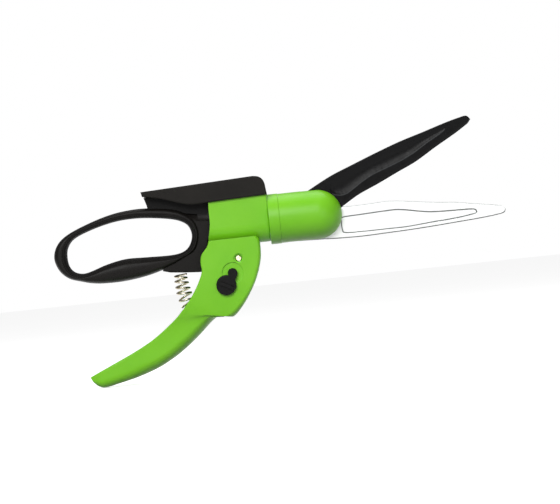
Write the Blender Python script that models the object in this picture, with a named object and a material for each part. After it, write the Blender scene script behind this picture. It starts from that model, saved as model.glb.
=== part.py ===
"""Grass shears with a swivelling head: a loop handle with a green barrel, a sprung squeeze lever,
a push rod that drives the blades, and a release lever that frees the head to turn.

Lengths are in millimetres in the tool's own frame: X runs along the barrel to the blade tips, from
the seam between barrel and head; Z is up; the barrel axis is y = 0, z = 0. The near side is -Y.
"""

import math

import bmesh
import bpy
from mathutils import Vector

MM = 0.001
CENTRE_X = 7.6
LOWEST_Z = -116.9
GAP = 0.3

# Motion
LEVER_PIVOT = (-26.3, -27.5)
LEVER_TURN = math.radians(15.0)
BLADE_PIVOT = (25.5, 0.0)
BLADE_TURN = math.radians(27.0)
CRANK_ARM = 12.0
FINGER_ARM = CRANK_ARM * math.sin(BLADE_TURN / 2) / math.sin(LEVER_TURN / 2)
STROKE = 2 * CRANK_ARM * math.sin(BLADE_TURN / 2)
LOCK_PIVOT = (-32.0, -38.4)
KNOB_CENTRE = (-37.8, -47.2)
RELEASE_PIVOT = (-33.0, 26.0)
CRANK_PIN = (
    BLADE_PIVOT[0] - CRANK_ARM * math.sin(BLADE_TURN / 2),
    BLADE_PIVOT[1] + CRANK_ARM * math.cos(BLADE_TURN / 2),
)
FINGER_TIP = (
    LEVER_PIVOT[0] - FINGER_ARM * math.sin(LEVER_TURN / 2),
    LEVER_PIVOT[1] + FINGER_ARM * math.cos(LEVER_TURN / 2),
)

# Hand loop: matched points on the hole and on the outside, with the half thickness there
LOOP_STATIONS = [
    ((-60.9, -6.5), (-54.6, -6.0), 8.8),
    ((-62.6, 0.9), (-56.8, 4.6), 8.6),
    ((-67.8, 5.4), (-63.6, 11.4), 8.4),
    ((-76.5, 8.3), (-75.0, 16.2), 8.2),
    ((-91.8, 10.7), (-93.4, 18.6), 8.0),
    ((-106.1, 11.6), (-107.5, 18.6), 8.0),
    ((-120.6, 10.5), (-122.3, 16.6), 8.0),
    ((-136.6, 6.8), (-139.6, 11.7), 8.0),
    ((-151.6, 1.1), (-157.0, 4.6), 8.2),
    ((-157.7, -5.5), (-166.0, -2.8), 8.6),
    ((-159.2, -13.2), (-169.4, -12.6), 9.0),
    ((-158.0, -20.7), (-166.6, -22.4), 9.4),
    ((-154.0, -25.3), (-159.6, -29.5), 9.8),
    ((-147.4, -26.9), (-149.6, -33.1), 10.2),
    ((-140.0, -25.3), (-141.5, -35.2), 10.8),
    ((-128.8, -21.7), (-132.0, -36.2), 11.2),
    ((-114.1, -19.0), (-116.8, -36.1), 11.4),
    ((-97.4, -19.3), (-99.5, -33.9), 11.0),
    ((-79.4, -19.7), (-82.0, -29.2), 10.0),
    ((-69.6, -18.3), (-69.4, -23.6), 9.2),
    ((-63.8, -14.1), (-58.8, -17.8), 9.0),
]
LOOP_STEPS = 2
LINER_DEPTH = 3.1
LOOP_POWER = 2.6

# Neck, web and pivot fork of the handle frame
NECK_HALF = 8.5
WEB_HALF = 5.0
FORK_SLOT_HALF = 4.4
FORK_NOSE = 8.0
LOCK_NOTCH = 2.9

# Barrel: flat sides and a round underside
BARREL_HALF = 15.0
BARREL_ROUND_Z = -2.0
BARREL_TOP = 21.0
BARREL_WALL = 2.4
BARREL_FRONT = -0.05
BARREL_REAR = [(-45.3, 24.0), (-45.3, 18.3), (-45.6, 11.5), (-45.7, 0.6), (-48.0, -11.0), (-48.8, -20.0)]
BARREL_SCREWS = [
    ("barrel_screw_top", -42.0, 8.0), ("barrel_screw_rear", -42.0, -4.6),
    ("barrel_screw_front", -24.5, 12.6),
]

# Squeeze lever: matched points on its inner and outer edges, with the half width there
LEVER_STATIONS = [
    ((-48.1, -11.9), (-11.2, -11.7), 18.4),
    ((-49.9, -16.5), (-8.9, -15.1), 18.4),
    ((-54.6, -22.0), (-8.7, -22.0), 18.4),
    ((-55.9, -28.0), (-9.2, -28.4), 18.4),
    ((-55.6, -33.9), (-10.6, -34.4), 18.4),
    ((-57.0, -38.6), (-12.4, -39.6), 18.4),
    ((-60.6, -45.7), (-14.9, -45.8), 18.4),
    ((-65.2, -52.9), (-19.6, -54.2), 18.2),
    ((-71.6, -60.8), (-26.4, -64.0), 17.4),
    ((-75.0, -64.4), (-34.4, -71.9), 16.4),
    ((-78.0, -67.6), (-38.6, -70.6), 15.6),
    ((-81.4, -70.6), (-43.2, -69.9), 14.8),
    ((-85.4, -73.8), (-48.0, -71.3), 14.1),
    ((-90.2, -77.5), (-53.1, -75.0), 13.5),
    ((-95.0, -80.9), (-61.6, -82.7), 12.9),
    ((-101.4, -85.0), (-72.1, -91.2), 12.4),
    ((-109.9, -89.5), (-84.3, -99.4), 12.0),
    ((-117.5, -93.2), (-98.3, -106.4), 11.8),
    ((-124.9, -96.5), (-114.1, -111.5), 11.6),
    ((-132.3, -99.7), (-128.7, -114.8), 11.2),
    ((-139.8, -103.0), (-139.3, -116.8), 10.4),
    ((-146.0, -105.7), (-144.6, -115.6), 9.4),
    ((-150.6, -107.8), (-148.6, -112.0), 8.0),
]
LEVER_WALL = 2.8
LEVER_CORNER = 3.0
TAIL_CORNER = 11.0
TAIL_START_HALF = 18.2
TAIL_FULL_HALF = 14.0
HUB_RADIUS = 6.6
FINGER_HALF = 1.7
FINGER_RADIUS = 2.5
RIB_THICKNESS = 1.8

# Head
HEAD_RADIUS = 19.2
HEAD_WALL = 2.6
DOME_X = 38.3
COLLAR_RADIUS = 19.5
COLLAR_END = 8.3
SLOT_HALF = 2.7
HEAD_SCREWS = [("head_screw_top", 12.3, 12.6), ("head_screw_bottom", 11.95, -12.5)]
TANG_SCREWS = [("tang_screw_rear", 19.5, -11.0), ("tang_screw_front", 41.0, -9.0)]

# Blades
BLADE_INNER = 0.15
BLADE_OUTER = 2.1
BEVEL_WIDTH = 2.6
MOVING_BACK = [
    (32.8, 19.2), (51.1, 28.6), (69.9, 36.0), (88.6, 43.1), (107.3, 49.7), (126.0, 55.2),
    (144.5, 60.8), (155.4, 63.6), (161.4, 64.5), (164.4, 61.4),
]
MOVING_EDGE = [
    (162.0, 58.3), (151.1, 51.5), (135.1, 42.6), (119.1, 33.2), (103.4, 26.1), (87.5, 18.8),
    (71.9, 12.1), (58.2, 4.2),
]
MOVING_TANG = [
    (50.0, -0.6), (40.0, -5.6), (31.0, -7.6), (24.0, -7.8), (18.6, -4.6), (17.6, 1.0), (18.4, 7.0),
    (18.4, 12.0), (20.4, 15.2), (23.6, 15.6), (27.0, 16.2),
]
MOVING_PANEL = [
    (60.8, 13.2), (75.2, 21.6), (84.6, 26.6), (96.4, 30.8), (107.3, 34.9), (117.6, 39.8),
    (128.0, 46.2), (136.0, 50.6), (142.4, 54.4), (144.2, 57.0), (139.0, 57.0), (120.0, 51.4),
    (100.0, 45.0), (80.0, 37.6), (64.0, 31.2), (52.0, 25.0), (50.0, 16.0),
]
FIXED_EDGE = [
    (60.8, 4.0), (72.6, 3.9), (83.4, 4.3), (94.2, 4.6), (105.8, 3.5), (119.1, 1.5), (132.4, -0.2),
    (145.8, -1.6), (159.0, -3.9), (172.3, -6.1), (182.0, -8.0),
]
FIXED_BACK = [
    (184.6, -10.8), (183.3, -13.6), (175.9, -15.1), (162.3, -16.4), (144.1, -17.6), (125.9, -18.8),
    (107.9, -19.7), (89.8, -20.3), (71.8, -20.8), (53.8, -20.5), (42.6, -20.0), (22.0, -19.2),
    (14.2, -18.6),
]
FIXED_TANG = [
    (15.4, -12.5), (16.2, -4.0), (16.6, 5.0), (20.0, 9.6), (28.0, 10.6), (36.0, 9.4), (46.0, 7.0),
    (54.0, 4.8),
]
FIXED_PANEL = [
    (57.6, -4.2), (71.8, -3.5), (82.6, -3.0), (91.6, -2.7), (100.7, -2.7), (109.5, -4.1),
    (118.4, -5.9), (127.2, -7.2), (140.6, -7.8), (154.1, -8.1), (160.2, -8.6), (161.8, -10.2),
    (160.0, -12.0), (144.5, -14.0), (126.3, -15.2), (108.2, -16.6), (90.1, -16.8), (72.2, -16.8),
    (58.7, -16.4), (56.4, -14.0), (56.2, -7.0),
]
PANEL_DEPTH = 0.4

# Release lever on top
HOOD_HALF = 17.6
HOOD_INNER = 15.4
HOOD_OUTLINE = [
    (-96.6, 31.2), (-9.4, 34.7), (-5.8, 34.2), (-3.0, 32.8), (-1.1, 30.4), (-0.2, 27.4), (0.7, 19.4),
    (-45.3, 18.0), (-53.0, 17.5), (-61.0, 17.9), (-71.0, 20.8), (-81.4, 24.4), (-93.4, 27.0), (-95.8, 27.4),
]
HOOD_CAVITY = [
    (-99.0, 29.2), (-8.4, 32.6), (-5.6, 31.8), (-3.9, 29.6), (-2.9, 26.0), (-2.4, 21.6),
    (0.3, 21.5), (3.0, 21.5), (3.0, 10.0), (-99.0, 10.0),
]

# Springs
SPRING_AXIS = [(-72.9, -35.5), (-72.8, -40.0), (-72.2, -46.0), (-71.2, -52.0), (-68.6, -58.9)]
SPRING_RADII = (4.4, 5.8)
SPRING_WIRE = 0.68
SPRING_TURNS = 5.5
RELEASE_SPRING_X = -56.0

BODY_ORIGINS = {
    "handle": (0.0, 0.0, 0.0),
    "lever": (LEVER_PIVOT[0], 0.0, LEVER_PIVOT[1]),
    "lock": (LOCK_PIVOT[0], 0.0, LOCK_PIVOT[1]),
    "slider": (-30.0, 0.0, 0.0),
    "head": (0.0, 0.0, 0.0),
    "blade": (BLADE_PIVOT[0], 0.0, BLADE_PIVOT[1]),
    "yoke": (6.0, 0.0, 0.0),
    "release": (RELEASE_PIVOT[0], 0.0, RELEASE_PIVOT[1]),
}

MATERIALS = {
    "green_plastic": ((0.21, 0.60, 0.03), 0.38, 0.0),
    "black_plastic": ((0.022, 0.020, 0.018), 0.48, 0.0),
    "soft_lining": ((0.016, 0.015, 0.014), 0.75, 0.0),
    "hood_plastic": ((0.028, 0.026, 0.023), 0.55, 0.0),
    "coated_steel": ((0.012, 0.012, 0.013), 0.32, 0.4),
    "bright_steel": ((0.82, 0.84, 0.84), 0.22, 1.0),
    "plated_steel": ((0.62, 0.60, 0.52), 0.30, 1.0),
    "spring_steel": ((0.42, 0.37, 0.28), 0.34, 1.0),
    "pale_nylon": ((0.62, 0.60, 0.54), 0.50, 0.0),
}


def clear_scene():
    for old in list(bpy.data.objects):
        bpy.data.objects.remove(old, do_unlink=True)


def world(x, y, z):
    return Vector(((x - CENTRE_X) * MM, y * MM, (z - LOWEST_Z) * MM))


def make_materials():
    made = {}
    for name, (colour, roughness, metallic) in MATERIALS.items():
        material = bpy.data.materials.new(name)
        material.use_nodes = True
        shader = material.node_tree.nodes["Principled BSDF"]
        shader.inputs["Base Color"].default_value = (*colour, 1.0)
        shader.inputs["Roughness"].default_value = roughness
        shader.inputs["Metallic"].default_value = metallic
        material.diffuse_color = (*colour, 1.0)
        made[name] = material
    return made


def make_bodies():
    """One empty on each moving body's joint, for its pieces to hang from."""
    made = {}
    for name, origin in BODY_ORIGINS.items():
        empty = bpy.data.objects.new("joint_" + name, None)
        empty.empty_display_size = 0.01
        empty.location = world(*origin)
        bpy.context.scene.collection.objects.link(empty)
        made[name] = empty
    return made


# Outlines, as lists of (x, z)


def spline(points, steps, closed=False):
    """Catmull-Rom curve through points of any dimension."""
    count = len(points)
    made = []
    for i in range(count if closed else count - 1):
        if closed:
            p0, p1, p2, p3 = (points[(i + k) % count] for k in (-1, 0, 1, 2))
        else:
            p0, p1, p2, p3 = (points[min(max(i + k, 0), count - 1)] for k in (-1, 0, 1, 2))
        for s in range(steps):
            t = s / steps
            weights = (
                -0.5 * t + t * t - 0.5 * t ** 3,
                1 - 2.5 * t * t + 1.5 * t ** 3,
                0.5 * t + 2 * t * t - 1.5 * t ** 3,
                -0.5 * t * t + 0.5 * t ** 3,
            )
            near = (p0, p1, p2, p3)
            made.append(tuple(sum(w * p[d] for w, p in zip(weights, near)) for d in range(len(p1))))
    if not closed:
        made.append(tuple(points[-1]))
    return made


def arc(centre, radius, start, end, steps):
    made = []
    for k in range(steps + 1):
        angle = math.radians(start + (end - start) * k / steps)
        made.append((centre[0] + radius * math.cos(angle), centre[1] + radius * math.sin(angle)))
    return made


def box_outline(x0, x1, z0, z1):
    return [(x0, z0), (x1, z0), (x1, z1), (x0, z1)]


def inset(outline, distances):
    """Moves each point of a closed outline inwards by its distance."""
    count = len(outline)
    area = sum(outline[i - 1][0] * outline[i][1] - outline[i][0] * outline[i - 1][1] for i in range(count))
    turn = 1.0 if area > 0 else -1.0
    made = []
    for i in range(count):
        before = Vector(outline[i]) - Vector(outline[i - 1])
        after = Vector(outline[(i + 1) % count]) - Vector(outline[i])
        before.normalize()
        after.normalize()
        normal = Vector((-(before + after).y, (before + after).x)) * turn
        normal.normalize()
        along = Vector((-before.y, before.x)) * turn
        reach = distances[i] / max(normal.dot(along), 0.6)
        made.append((outline[i][0] + normal.x * reach, outline[i][1] + normal.y * reach))
    return made


# Solids, as bmesh


def skin(rings, looped=False):
    """A closed solid through rings of points, capped at both ends unless looped."""
    bm = bmesh.new()
    rows = [[bm.verts.new(world(*point)) for point in ring] for ring in rings]
    width = len(rows[0])
    pairs = list(zip(rows, rows[1:] + rows[:1])) if looped else list(zip(rows, rows[1:]))
    for low, high in pairs:
        for k in range(width):
            bm.faces.new((low[k], low[(k + 1) % width], high[(k + 1) % width], high[k]))
    if not looped:
        bm.faces.new(rows[0])
        bm.faces.new(rows[-1])
    bmesh.ops.remove_doubles(bm, verts=bm.verts, dist=2e-7)
    bmesh.ops.dissolve_degenerate(bm, edges=bm.edges, dist=1e-7)
    bmesh.ops.recalc_face_normals(bm, faces=bm.faces)
    return bm


def slab(outline, y0, y1, edge=0.0, distances=None):
    """A plate in the XZ plane, with chamfered rims, or with its y1 face drawn in by distances."""
    if distances:
        layers = [(y0, outline), (y1, inset(outline, distances))]
    elif edge:
        sign = 1 if y1 > y0 else -1
        small = inset(outline, [edge] * len(outline))
        middle = inset(outline, [0.3 * edge] * len(outline))
        layers = [(y0, small), (y0 + sign * 0.3 * edge, middle), (y0 + sign * edge, outline)]
        layers += [(y1 - sign * edge, outline), (y1 - sign * 0.3 * edge, middle), (y1, small)]
    else:
        layers = [(y0, outline), (y1, outline)]
    return skin([[(x, y, z) for x, z in ring] for y, ring in layers])


def screw_hole(x, z, start, seat):
    """A clearance hole along Y with a wider recess for the head beyond the seat."""
    profile = [(start, 0.0), (start, 1.8), (seat, 1.8), (seat, 3.1), (25.0, 3.1), (25.0, 0.0)]
    return turned_y((x, z), profile, 12)


def block(x0, x1, y0, y1, z0, z1):
    return slab(box_outline(x0, x1, z0, z1), y0, y1)


def turned_y(centre, profile, segments):
    """Turns (y, radius) points about an axis along Y through centre."""
    rings = []
    for k in range(segments):
        angle = 2 * math.pi * k / segments
        cos, sin = math.cos(angle), math.sin(angle)
        rings.append([(centre[0] + r * cos, y, centre[1] + r * sin) for y, r in profile])
    return skin(rings, looped=True)


def turned_x(profile, segments, start=0.0, sweep=360.0, shift=0.0):
    """Turns (x, radius) points about the barrel axis, all round or over part of a turn."""
    full = sweep >= 360.0
    rings = []
    for k in range(segments if full else segments + 1):
        angle = math.radians(start + sweep * k / segments)
        rings.append([(x, r * math.cos(angle) + shift, r * math.sin(angle)) for x, r in profile])
    return skin(rings, looped=full)


def rod_y(centre, radius, y0, y1, segments=14):
    return turned_y(centre, [(y0, 0.0), (y0, radius), (y1, radius), (y1, 0.0)], segments)


def coil(axis_points, radii, wire, turns, per_turn=10, around=5):
    """A coil spring about a curved axis in the XZ plane."""
    axis = spline(axis_points, 8)
    steps = int(turns * per_turn)
    rings = []
    for k in range(steps + 1):
        place = k / steps * (len(axis) - 1)
        low = min(int(place), len(axis) - 2)
        blend = place - low
        centre = Vector(axis[low]).lerp(Vector(axis[low + 1]), blend)
        along = (Vector(axis[low + 1]) - Vector(axis[low])).normalized()
        across = Vector((-along.y, along.x))
        radius = radii[0] + (radii[1] - radii[0]) * k / steps
        angle = 2 * math.pi * turns * k / steps
        ring = []
        for j in range(around):
            bend = 2 * math.pi * j / around
            reach = radius + wire * math.cos(bend)
            lift = wire * math.sin(bend)
            flat = centre + across * (reach * math.cos(angle)) + along * lift
            ring.append((flat.x, reach * math.sin(angle), flat.y))
        rings.append(ring)
    return skin(rings)


# Objects


def mesh_object(bm, name="tool"):
    mesh = bpy.data.meshes.new(name)
    bm.to_mesh(mesh)
    bm.free()
    made = bpy.data.objects.new(name, mesh)
    bpy.context.scene.collection.objects.link(made)
    return made


def combine(target, bm, operation):
    """Adds to or cuts from an object, with an exact Boolean."""
    tool = mesh_object(bm)
    modifier = target.modifiers.new("shape", "BOOLEAN")
    modifier.operation = operation
    modifier.solver = "EXACT"
    modifier.object = tool
    graph = bpy.context.evaluated_depsgraph_get()
    result = bpy.data.meshes.new_from_object(target.evaluated_get(graph))
    target.modifiers.clear()
    target.data = result
    bpy.data.objects.remove(tool, do_unlink=True)


def join(target, *solids):
    for solid in solids:
        combine(target, solid, "UNION")


def cut(target, *solids):
    for solid in solids:
        combine(target, solid, "DIFFERENCE")


def finish(made, name, body, material, smooth=35.0):
    """Names the piece, shades it, moves its origin to its body's joint and hangs it there."""
    made.name = name
    mesh = made.data
    mesh.name = name
    bm = bmesh.new()
    bm.from_mesh(mesh)
    bmesh.ops.remove_doubles(bm, verts=bm.verts, dist=1e-6)
    bmesh.ops.dissolve_degenerate(bm, edges=bm.edges, dist=1e-6)
    for vert in bm.verts:
        vert.co -= body.location
    bm.to_mesh(mesh)
    bm.free()
    mesh.materials.clear()
    mesh.materials.append(material)
    mesh.polygons.foreach_set("use_smooth", [True] * len(mesh.polygons))
    mesh.set_sharp_from_angle(angle=math.radians(smooth))
    made.parent = body


# Handle


def loop_stations():
    return spline([(*a, *b, half) for a, b, half in LOOP_STATIONS], LOOP_STEPS, closed=True)


def loop_share(station, depth):
    """A depth from the hole, as a share of the loop's radial width there."""
    return depth / math.hypot(station[2] - station[0], station[3] - station[1])


def loop_section(station, lower, upper):
    """Points round the part of a loop section between two fractions of its radial width."""
    inner, outer, half = (station[0], station[1]), (station[2], station[3]), station[4]
    steps = 6

    def point(u, y):
        return (inner[0] + (outer[0] - inner[0]) * u, y, inner[1] + (outer[1] - inner[1]) * u)

    def height(u):
        return half * max(0.0, 1 - abs(2 * u - 1) ** LOOP_POWER) ** (1 / LOOP_POWER)

    shares = [0.5 - 0.5 * math.cos(math.pi * k / steps) for k in range(steps + 1)]
    span = [lower + (upper - lower) * share for share in shares]
    top = [point(u, height(u)) for u in span]
    bottom = [point(u, -height(u)) for u in reversed(span)]
    return [p for k, p in enumerate(top + bottom) if not (k == len(top) and height(upper) == 0.0)]


def make_handle_frame(body, material):
    split = LINER_DEPTH + GAP / 2
    rings = [loop_section(station, loop_share(station, split), 1.0) for station in loop_stations()]
    made = mesh_object(skin(rings, looped=True))
    nose = arc(LEVER_PIVOT, FORK_NOSE, -90, 100, 12)
    neck = [(-85.0, -26.0), (-86.0, -31.5), (-80.3, -33.1), (-70.0, -34.2), (-58.2, -35.1)] + nose
    neck += [(-33.0, -17.9), (-49.4, -17.9), (-48.9, -13.0), (-48.2, -10.6), (-38.5, -10.6)]
    neck += [(-38.5, 13.0), (-46.2, 13.0), (-46.2, 11.0), (-56.0, 11.6), (-64.0, 12.6), (-72.0, 12.0)]
    neck += [(-72.0, 6.5), (-66.0, 2.0), (-62.6, -4.0), (-63.4, -12.0), (-68.0, -18.0), (-76.0, -22.0)]
    join(made, slab(neck, -NECK_HALF, NECK_HALF, edge=0.8))
    web = [(-92.9, 15.0), (-94.3, 25.2), (-94.3, 26.9), (-62.0, 26.9), (-61.0, 22.6), (-46.3, 22.6)]
    web += [(-46.3, 18.0), (-43.5, 17.8), (-43.5, 10.0), (-60.0, 10.0), (-72.0, 13.5)]
    join(made, slab(web, -WEB_HALF, WEB_HALF, edge=0.5))
    cut(made, block(-38.0, -10.0, -FORK_SLOT_HALF, FORK_SLOT_HALF, -40.0, -15.0))
    turned = math.atan2(LOCK_PIVOT[1] - LEVER_PIVOT[1], LOCK_PIVOT[0] - LEVER_PIVOT[0])
    reach = math.hypot(LOCK_PIVOT[0] - LEVER_PIVOT[0], LOCK_PIVOT[1] - LEVER_PIVOT[1])
    closed = turned - LEVER_TURN
    notch = (LEVER_PIVOT[0] + reach * math.cos(closed), LEVER_PIVOT[1] + reach * math.sin(closed))
    cut(made, rod_y(notch, LOCK_NOTCH, -12.0, 12.0, 24))
    cut(made, rod_y(LEVER_PIVOT, 2.6, -12.0, 12.0, 24))
    for _, x, z in BARREL_SCREWS[:2]:
        cut(made, rod_y((x, z), 1.9, -12.0, 12.0))
    cut(made, hole_trim())
    finish(made, "handle_frame", body, material)


def hole_trim():
    """The hand hole with its lining, kept clear of the neck."""
    outline = []
    for inner_x, inner_z, outer_x, outer_z, half in loop_stations():
        share = loop_share((inner_x, inner_z, outer_x, outer_z), LINER_DEPTH + GAP / 2)
        outline.append((inner_x + (outer_x - inner_x) * share, inner_z + (outer_z - inner_z) * share))
    return slab(outline, -20.0, 20.0)


def make_grip_liner(body, material):
    split = LINER_DEPTH - GAP / 2
    rings = [loop_section(station, 0.0, loop_share(station, split)) for station in loop_stations()]
    made = mesh_object(skin(rings, looped=True))
    finish(made, "grip_liner", body, material)


def barrel_half(side, radius_less, top):
    """Outline in (y, z) of one half of the barrel's section, reduced by a wall."""
    radius = BARREL_HALF - radius_less
    made = []
    for k in range(9):
        angle = math.radians(-90 + 90 * k / 8)
        made.append((radius * math.cos(angle), BARREL_ROUND_Z + radius * math.sin(angle)))
    made += [(radius, top - 1.6), (radius - 0.5, top - 0.5), (radius - 1.6, top)]
    made = [(max(y, GAP / 2), z) for y, z in made] + [(GAP / 2, top)]
    return [(side * y, z) for y, z in made]


def barrel_shell(side):
    outer = barrel_half(side, 0.0, BARREL_TOP)
    inner = barrel_half(side, BARREL_WALL, BARREL_TOP - BARREL_WALL)
    ring = outer + inner[::-1]
    return skin([[(x, y, z) for y, z in ring] for x in (-50.0, BARREL_FRONT)])


def bulkhead(side, x0, x1, bore):
    """A wall across one half of the barrel with a half-round bore on the axis."""
    outer = barrel_half(side, BARREL_WALL - 0.6, BARREL_TOP - BARREL_WALL + 0.6)
    inner = []
    for k in range(13):
        angle = math.radians(90 - 180 * k / 12)
        inner.append((side * max(bore * math.cos(angle), GAP / 2), bore * math.sin(angle)))
    ring = outer + inner
    return skin([[(x, y, z) for y, z in ring] for x in (x0, x1)])


def make_barrel_shell(side, name, body, material):
    made = mesh_object(barrel_shell(side))
    join(made, bulkhead(side, -2.0, BARREL_FRONT, 10.4), bulkhead(side, -12.3, -9.6, 10.4))
    join(made, block(-36.8, -16.4, side * 6.1, side * 13.2, -1.6, 1.6))
    join(made, block(-37.0, -29.0, side * 9.4, side * 12.6, BARREL_TOP - 1.0, 28.6))
    for _, x, z in BARREL_SCREWS[:2]:
        join(made, rod_y((x, z), 3.3, side * (NECK_HALF + GAP), side * 13.4))
    x, z = BARREL_SCREWS[2][1:]
    join(made, rod_y((x, z), 3.0, side * 0.25, side * 13.4))
    rear = BARREL_REAR + [(-60.0, -20.0), (-60.0, 30.0), (-45.3, 30.0)]
    cut(made, slab(rear, -20.0, 20.0))
    cut(made, block(-33.4, -19.2, -4.7, 4.7, -20.0, -8.0))
    cut(made, block(-7.2, -2.2, -3.4, 3.4, 14.0, 24.0))
    for _, x, z in BARREL_SCREWS:
        cut(made, screw_hole(x, z, -12.0, 12.9))
    cut(made, rod_y(RELEASE_PIVOT, 1.8, -20.0, 20.0))
    finish(made, name, body, material)


def make_screw(name, x, z, head, tip, body, material, shank=1.5, radius=2.7):
    """A pan head screw along Y, its head on the far side."""
    step = -1 if head > tip else 1
    profile = [(head, 0.0), (head, radius - 0.5), (head + step * 0.5, radius), (head + step * 1.6, radius)]
    profile += [(head + step * 1.6, shank), (tip - step * 1.0, shank), (tip, 0.4), (tip, 0.0)]
    made = mesh_object(turned_y((x, z), profile, 12))
    cut(made, block(x - 1.6, x + 1.6, head + step * 0.7, head - step * 1.0, z - 0.3, z + 0.3))
    cut(made, block(x - 0.3, x + 0.3, head + step * 0.7, head - step * 1.0, z - 1.6, z + 1.6))
    finish(made, name, body, material)


def make_pins(body, material):
    near, far = -17.3, 18.2
    profile = [(near, 0.0), (near, 1.5), (near + 0.5, 2.3), (16.4, 2.3), (16.4, 1.6), (17.5, 1.6)]
    profile += [(17.5, 2.3), (far - 0.4, 2.3), (far, 1.8), (far, 0.0)]
    finish(mesh_object(turned_y(LEVER_PIVOT, profile, 24)), "lever_pin", body, material)
    clip = [(16.7, 1.9), (16.7, 4.6), (17.2, 4.6), (17.2, 1.9)]
    made = mesh_object(turned_y(LEVER_PIVOT, clip, 24))
    x, z = LEVER_PIVOT
    cut(made, block(x - 1.2, x + 1.2, 16.0, 18.0, z - 6.0, z))
    finish(made, "lever_pin_clip", body, material)
    profile = [(-12.3, 0.0), (-12.3, 1.2), (-12.0, 1.5), (12.0, 1.5), (12.3, 1.2), (12.3, 0.0)]
    finish(mesh_object(turned_y(RELEASE_PIVOT, profile, 16)), "release_pivot_pin", body, material)


def make_springs(body, material):
    made = mesh_object(coil(SPRING_AXIS, SPRING_RADII, SPRING_WIRE, SPRING_TURNS))
    finish(made, "return_spring", body, material, smooth=60.0)
    axis = [(RELEASE_SPRING_X, z) for z in (23.4, 25.6, 27.8, 30.0)]
    made = mesh_object(coil(axis, (2.6, 2.6), 0.4, 4.0, per_turn=10, around=4))
    finish(made, "release_spring", body, material, smooth=60.0)


# Lever


def lever_corner(half, depth):
    """The radius between cheek and front: small beside the pivot and full along the tail."""
    tail = min(1.0, max(0.0, (TAIL_START_HALF - half) / (TAIL_START_HALF - TAIL_FULL_HALF)))
    corner = LEVER_CORNER + (TAIL_CORNER - LEVER_CORNER) * tail
    return min(corner, depth * 0.45, half * 0.85)


def lever_ring(station):
    """The lever's outer section at one station, with round corners on the finger side."""
    inner, outer, half = Vector(station[:2]), Vector(station[2:4]), station[4]
    depth = (outer - inner).length
    corner = lever_corner(half, depth)
    side = [(0.0, half - 0.7), (0.9, half), (depth * 0.4, half), (depth - corner, half)]
    for k in range(1, 5):
        angle = math.radians(90 * k / 4)
        side.append((depth - corner + corner * math.sin(angle), half - corner + corner * math.cos(angle)))
    shape = side + [(u, -y) for u, y in reversed(side)]
    spots = [(inner.lerp(outer, u / depth), y) for u, y in shape]
    return [(spot.x, y, spot.y) for spot, y in spots]


def lever_hollow(stations):
    """The channel inside the lever, open towards the loop and closed at the tip."""
    rings = []
    for i in range(len(stations) - 3):
        inner, outer, half = Vector(stations[i][:2]), Vector(stations[i][2:4]), stations[i][4]
        along = Vector(stations[i + 1][2:4]) - Vector(stations[max(i - 1, 0)][2:4])
        normal = Vector((along.y, -along.x)).normalized()
        floor = outer + normal * LEVER_WALL
        mouth = inner + (inner - outer).normalized() * 3.0
        depth = (floor - mouth).length
        width = half - LEVER_WALL
        slope = lever_corner(half, (outer - inner).length) * 0.6
        shape = [(0.0, width), (depth - slope, width), (depth, width - slope)]
        shape += [(u, -y) for u, y in reversed(shape)]
        spots = [(mouth.lerp(floor, u / depth), y) for u, y in shape]
        rings.append([(spot.x, y, spot.y) for spot, y in spots])
    top = [(x, y, z + 4.0) for x, y, z in rings[0]]
    return skin([top] + rings)


def make_squeeze_lever(body, material):
    stations = [(*a, *b, half) for a, b, half in LEVER_STATIONS]
    made = mesh_object(skin([lever_ring(station) for station in stations]))
    cut(made, lever_hollow(stations))
    cut(made, block(-60.0, 0.0, -(BARREL_HALF + 0.4), BARREL_HALF + 0.4, -17.7, 0.0))
    join(made, rod_y(LEVER_PIVOT, HUB_RADIUS, -4.0, 4.0, 24))
    rib = [(-27.0, -21.6), (-10.6, -21.6), (-11.6, -38.0), (-15.6, -47.0), (-24.0, -52.0)]
    rib += [(-33.0, -42.0), (-32.6, -30.0)]
    join(made, slab(rib, -4.0, 4.0))
    toward = Vector(FINGER_TIP) - Vector(LEVER_PIVOT)
    toward.normalize()
    across = Vector((-toward.y, toward.x))
    root, tip = Vector(LEVER_PIVOT) + toward * 5.0, Vector(FINGER_TIP)
    finger = [root + across * 3.0, root - across * 3.0]
    finger += [tip - across * FINGER_HALF, tip + across * FINGER_HALF]
    join(made, slab([(p.x, p.y) for p in finger], -3.6, 3.6))
    join(made, rod_y(FINGER_TIP, FINGER_RADIUS, -3.6, 3.6, 20))
    for side in (-1, 1):
        join(made, rod_y(LEVER_PIVOT, 5.0, side * (NECK_HALF + 0.4), side * 16.0, 20))
    for low, high in ((10, 11), (14, 15), (17, 18)):
        join(made, cross_rib(stations[low], stations[high]))
    join(made, spring_shelf(stations))
    cut(made, rod_y(LEVER_PIVOT, 2.6, -22.0, 22.0, 24))
    cut(made, rod_y(LEVER_PIVOT, 3.7, -22.0, -17.1, 24), rod_y(LEVER_PIVOT, 5.4, 16.5, 22.0, 24))
    cut(made, rod_y(LOCK_PIVOT, 8.3, -22.0, -17.6, 32), rod_y(LOCK_PIVOT, 3.3, -22.0, -14.0, 20))
    finish(made, "squeeze_lever", body, material)


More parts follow.
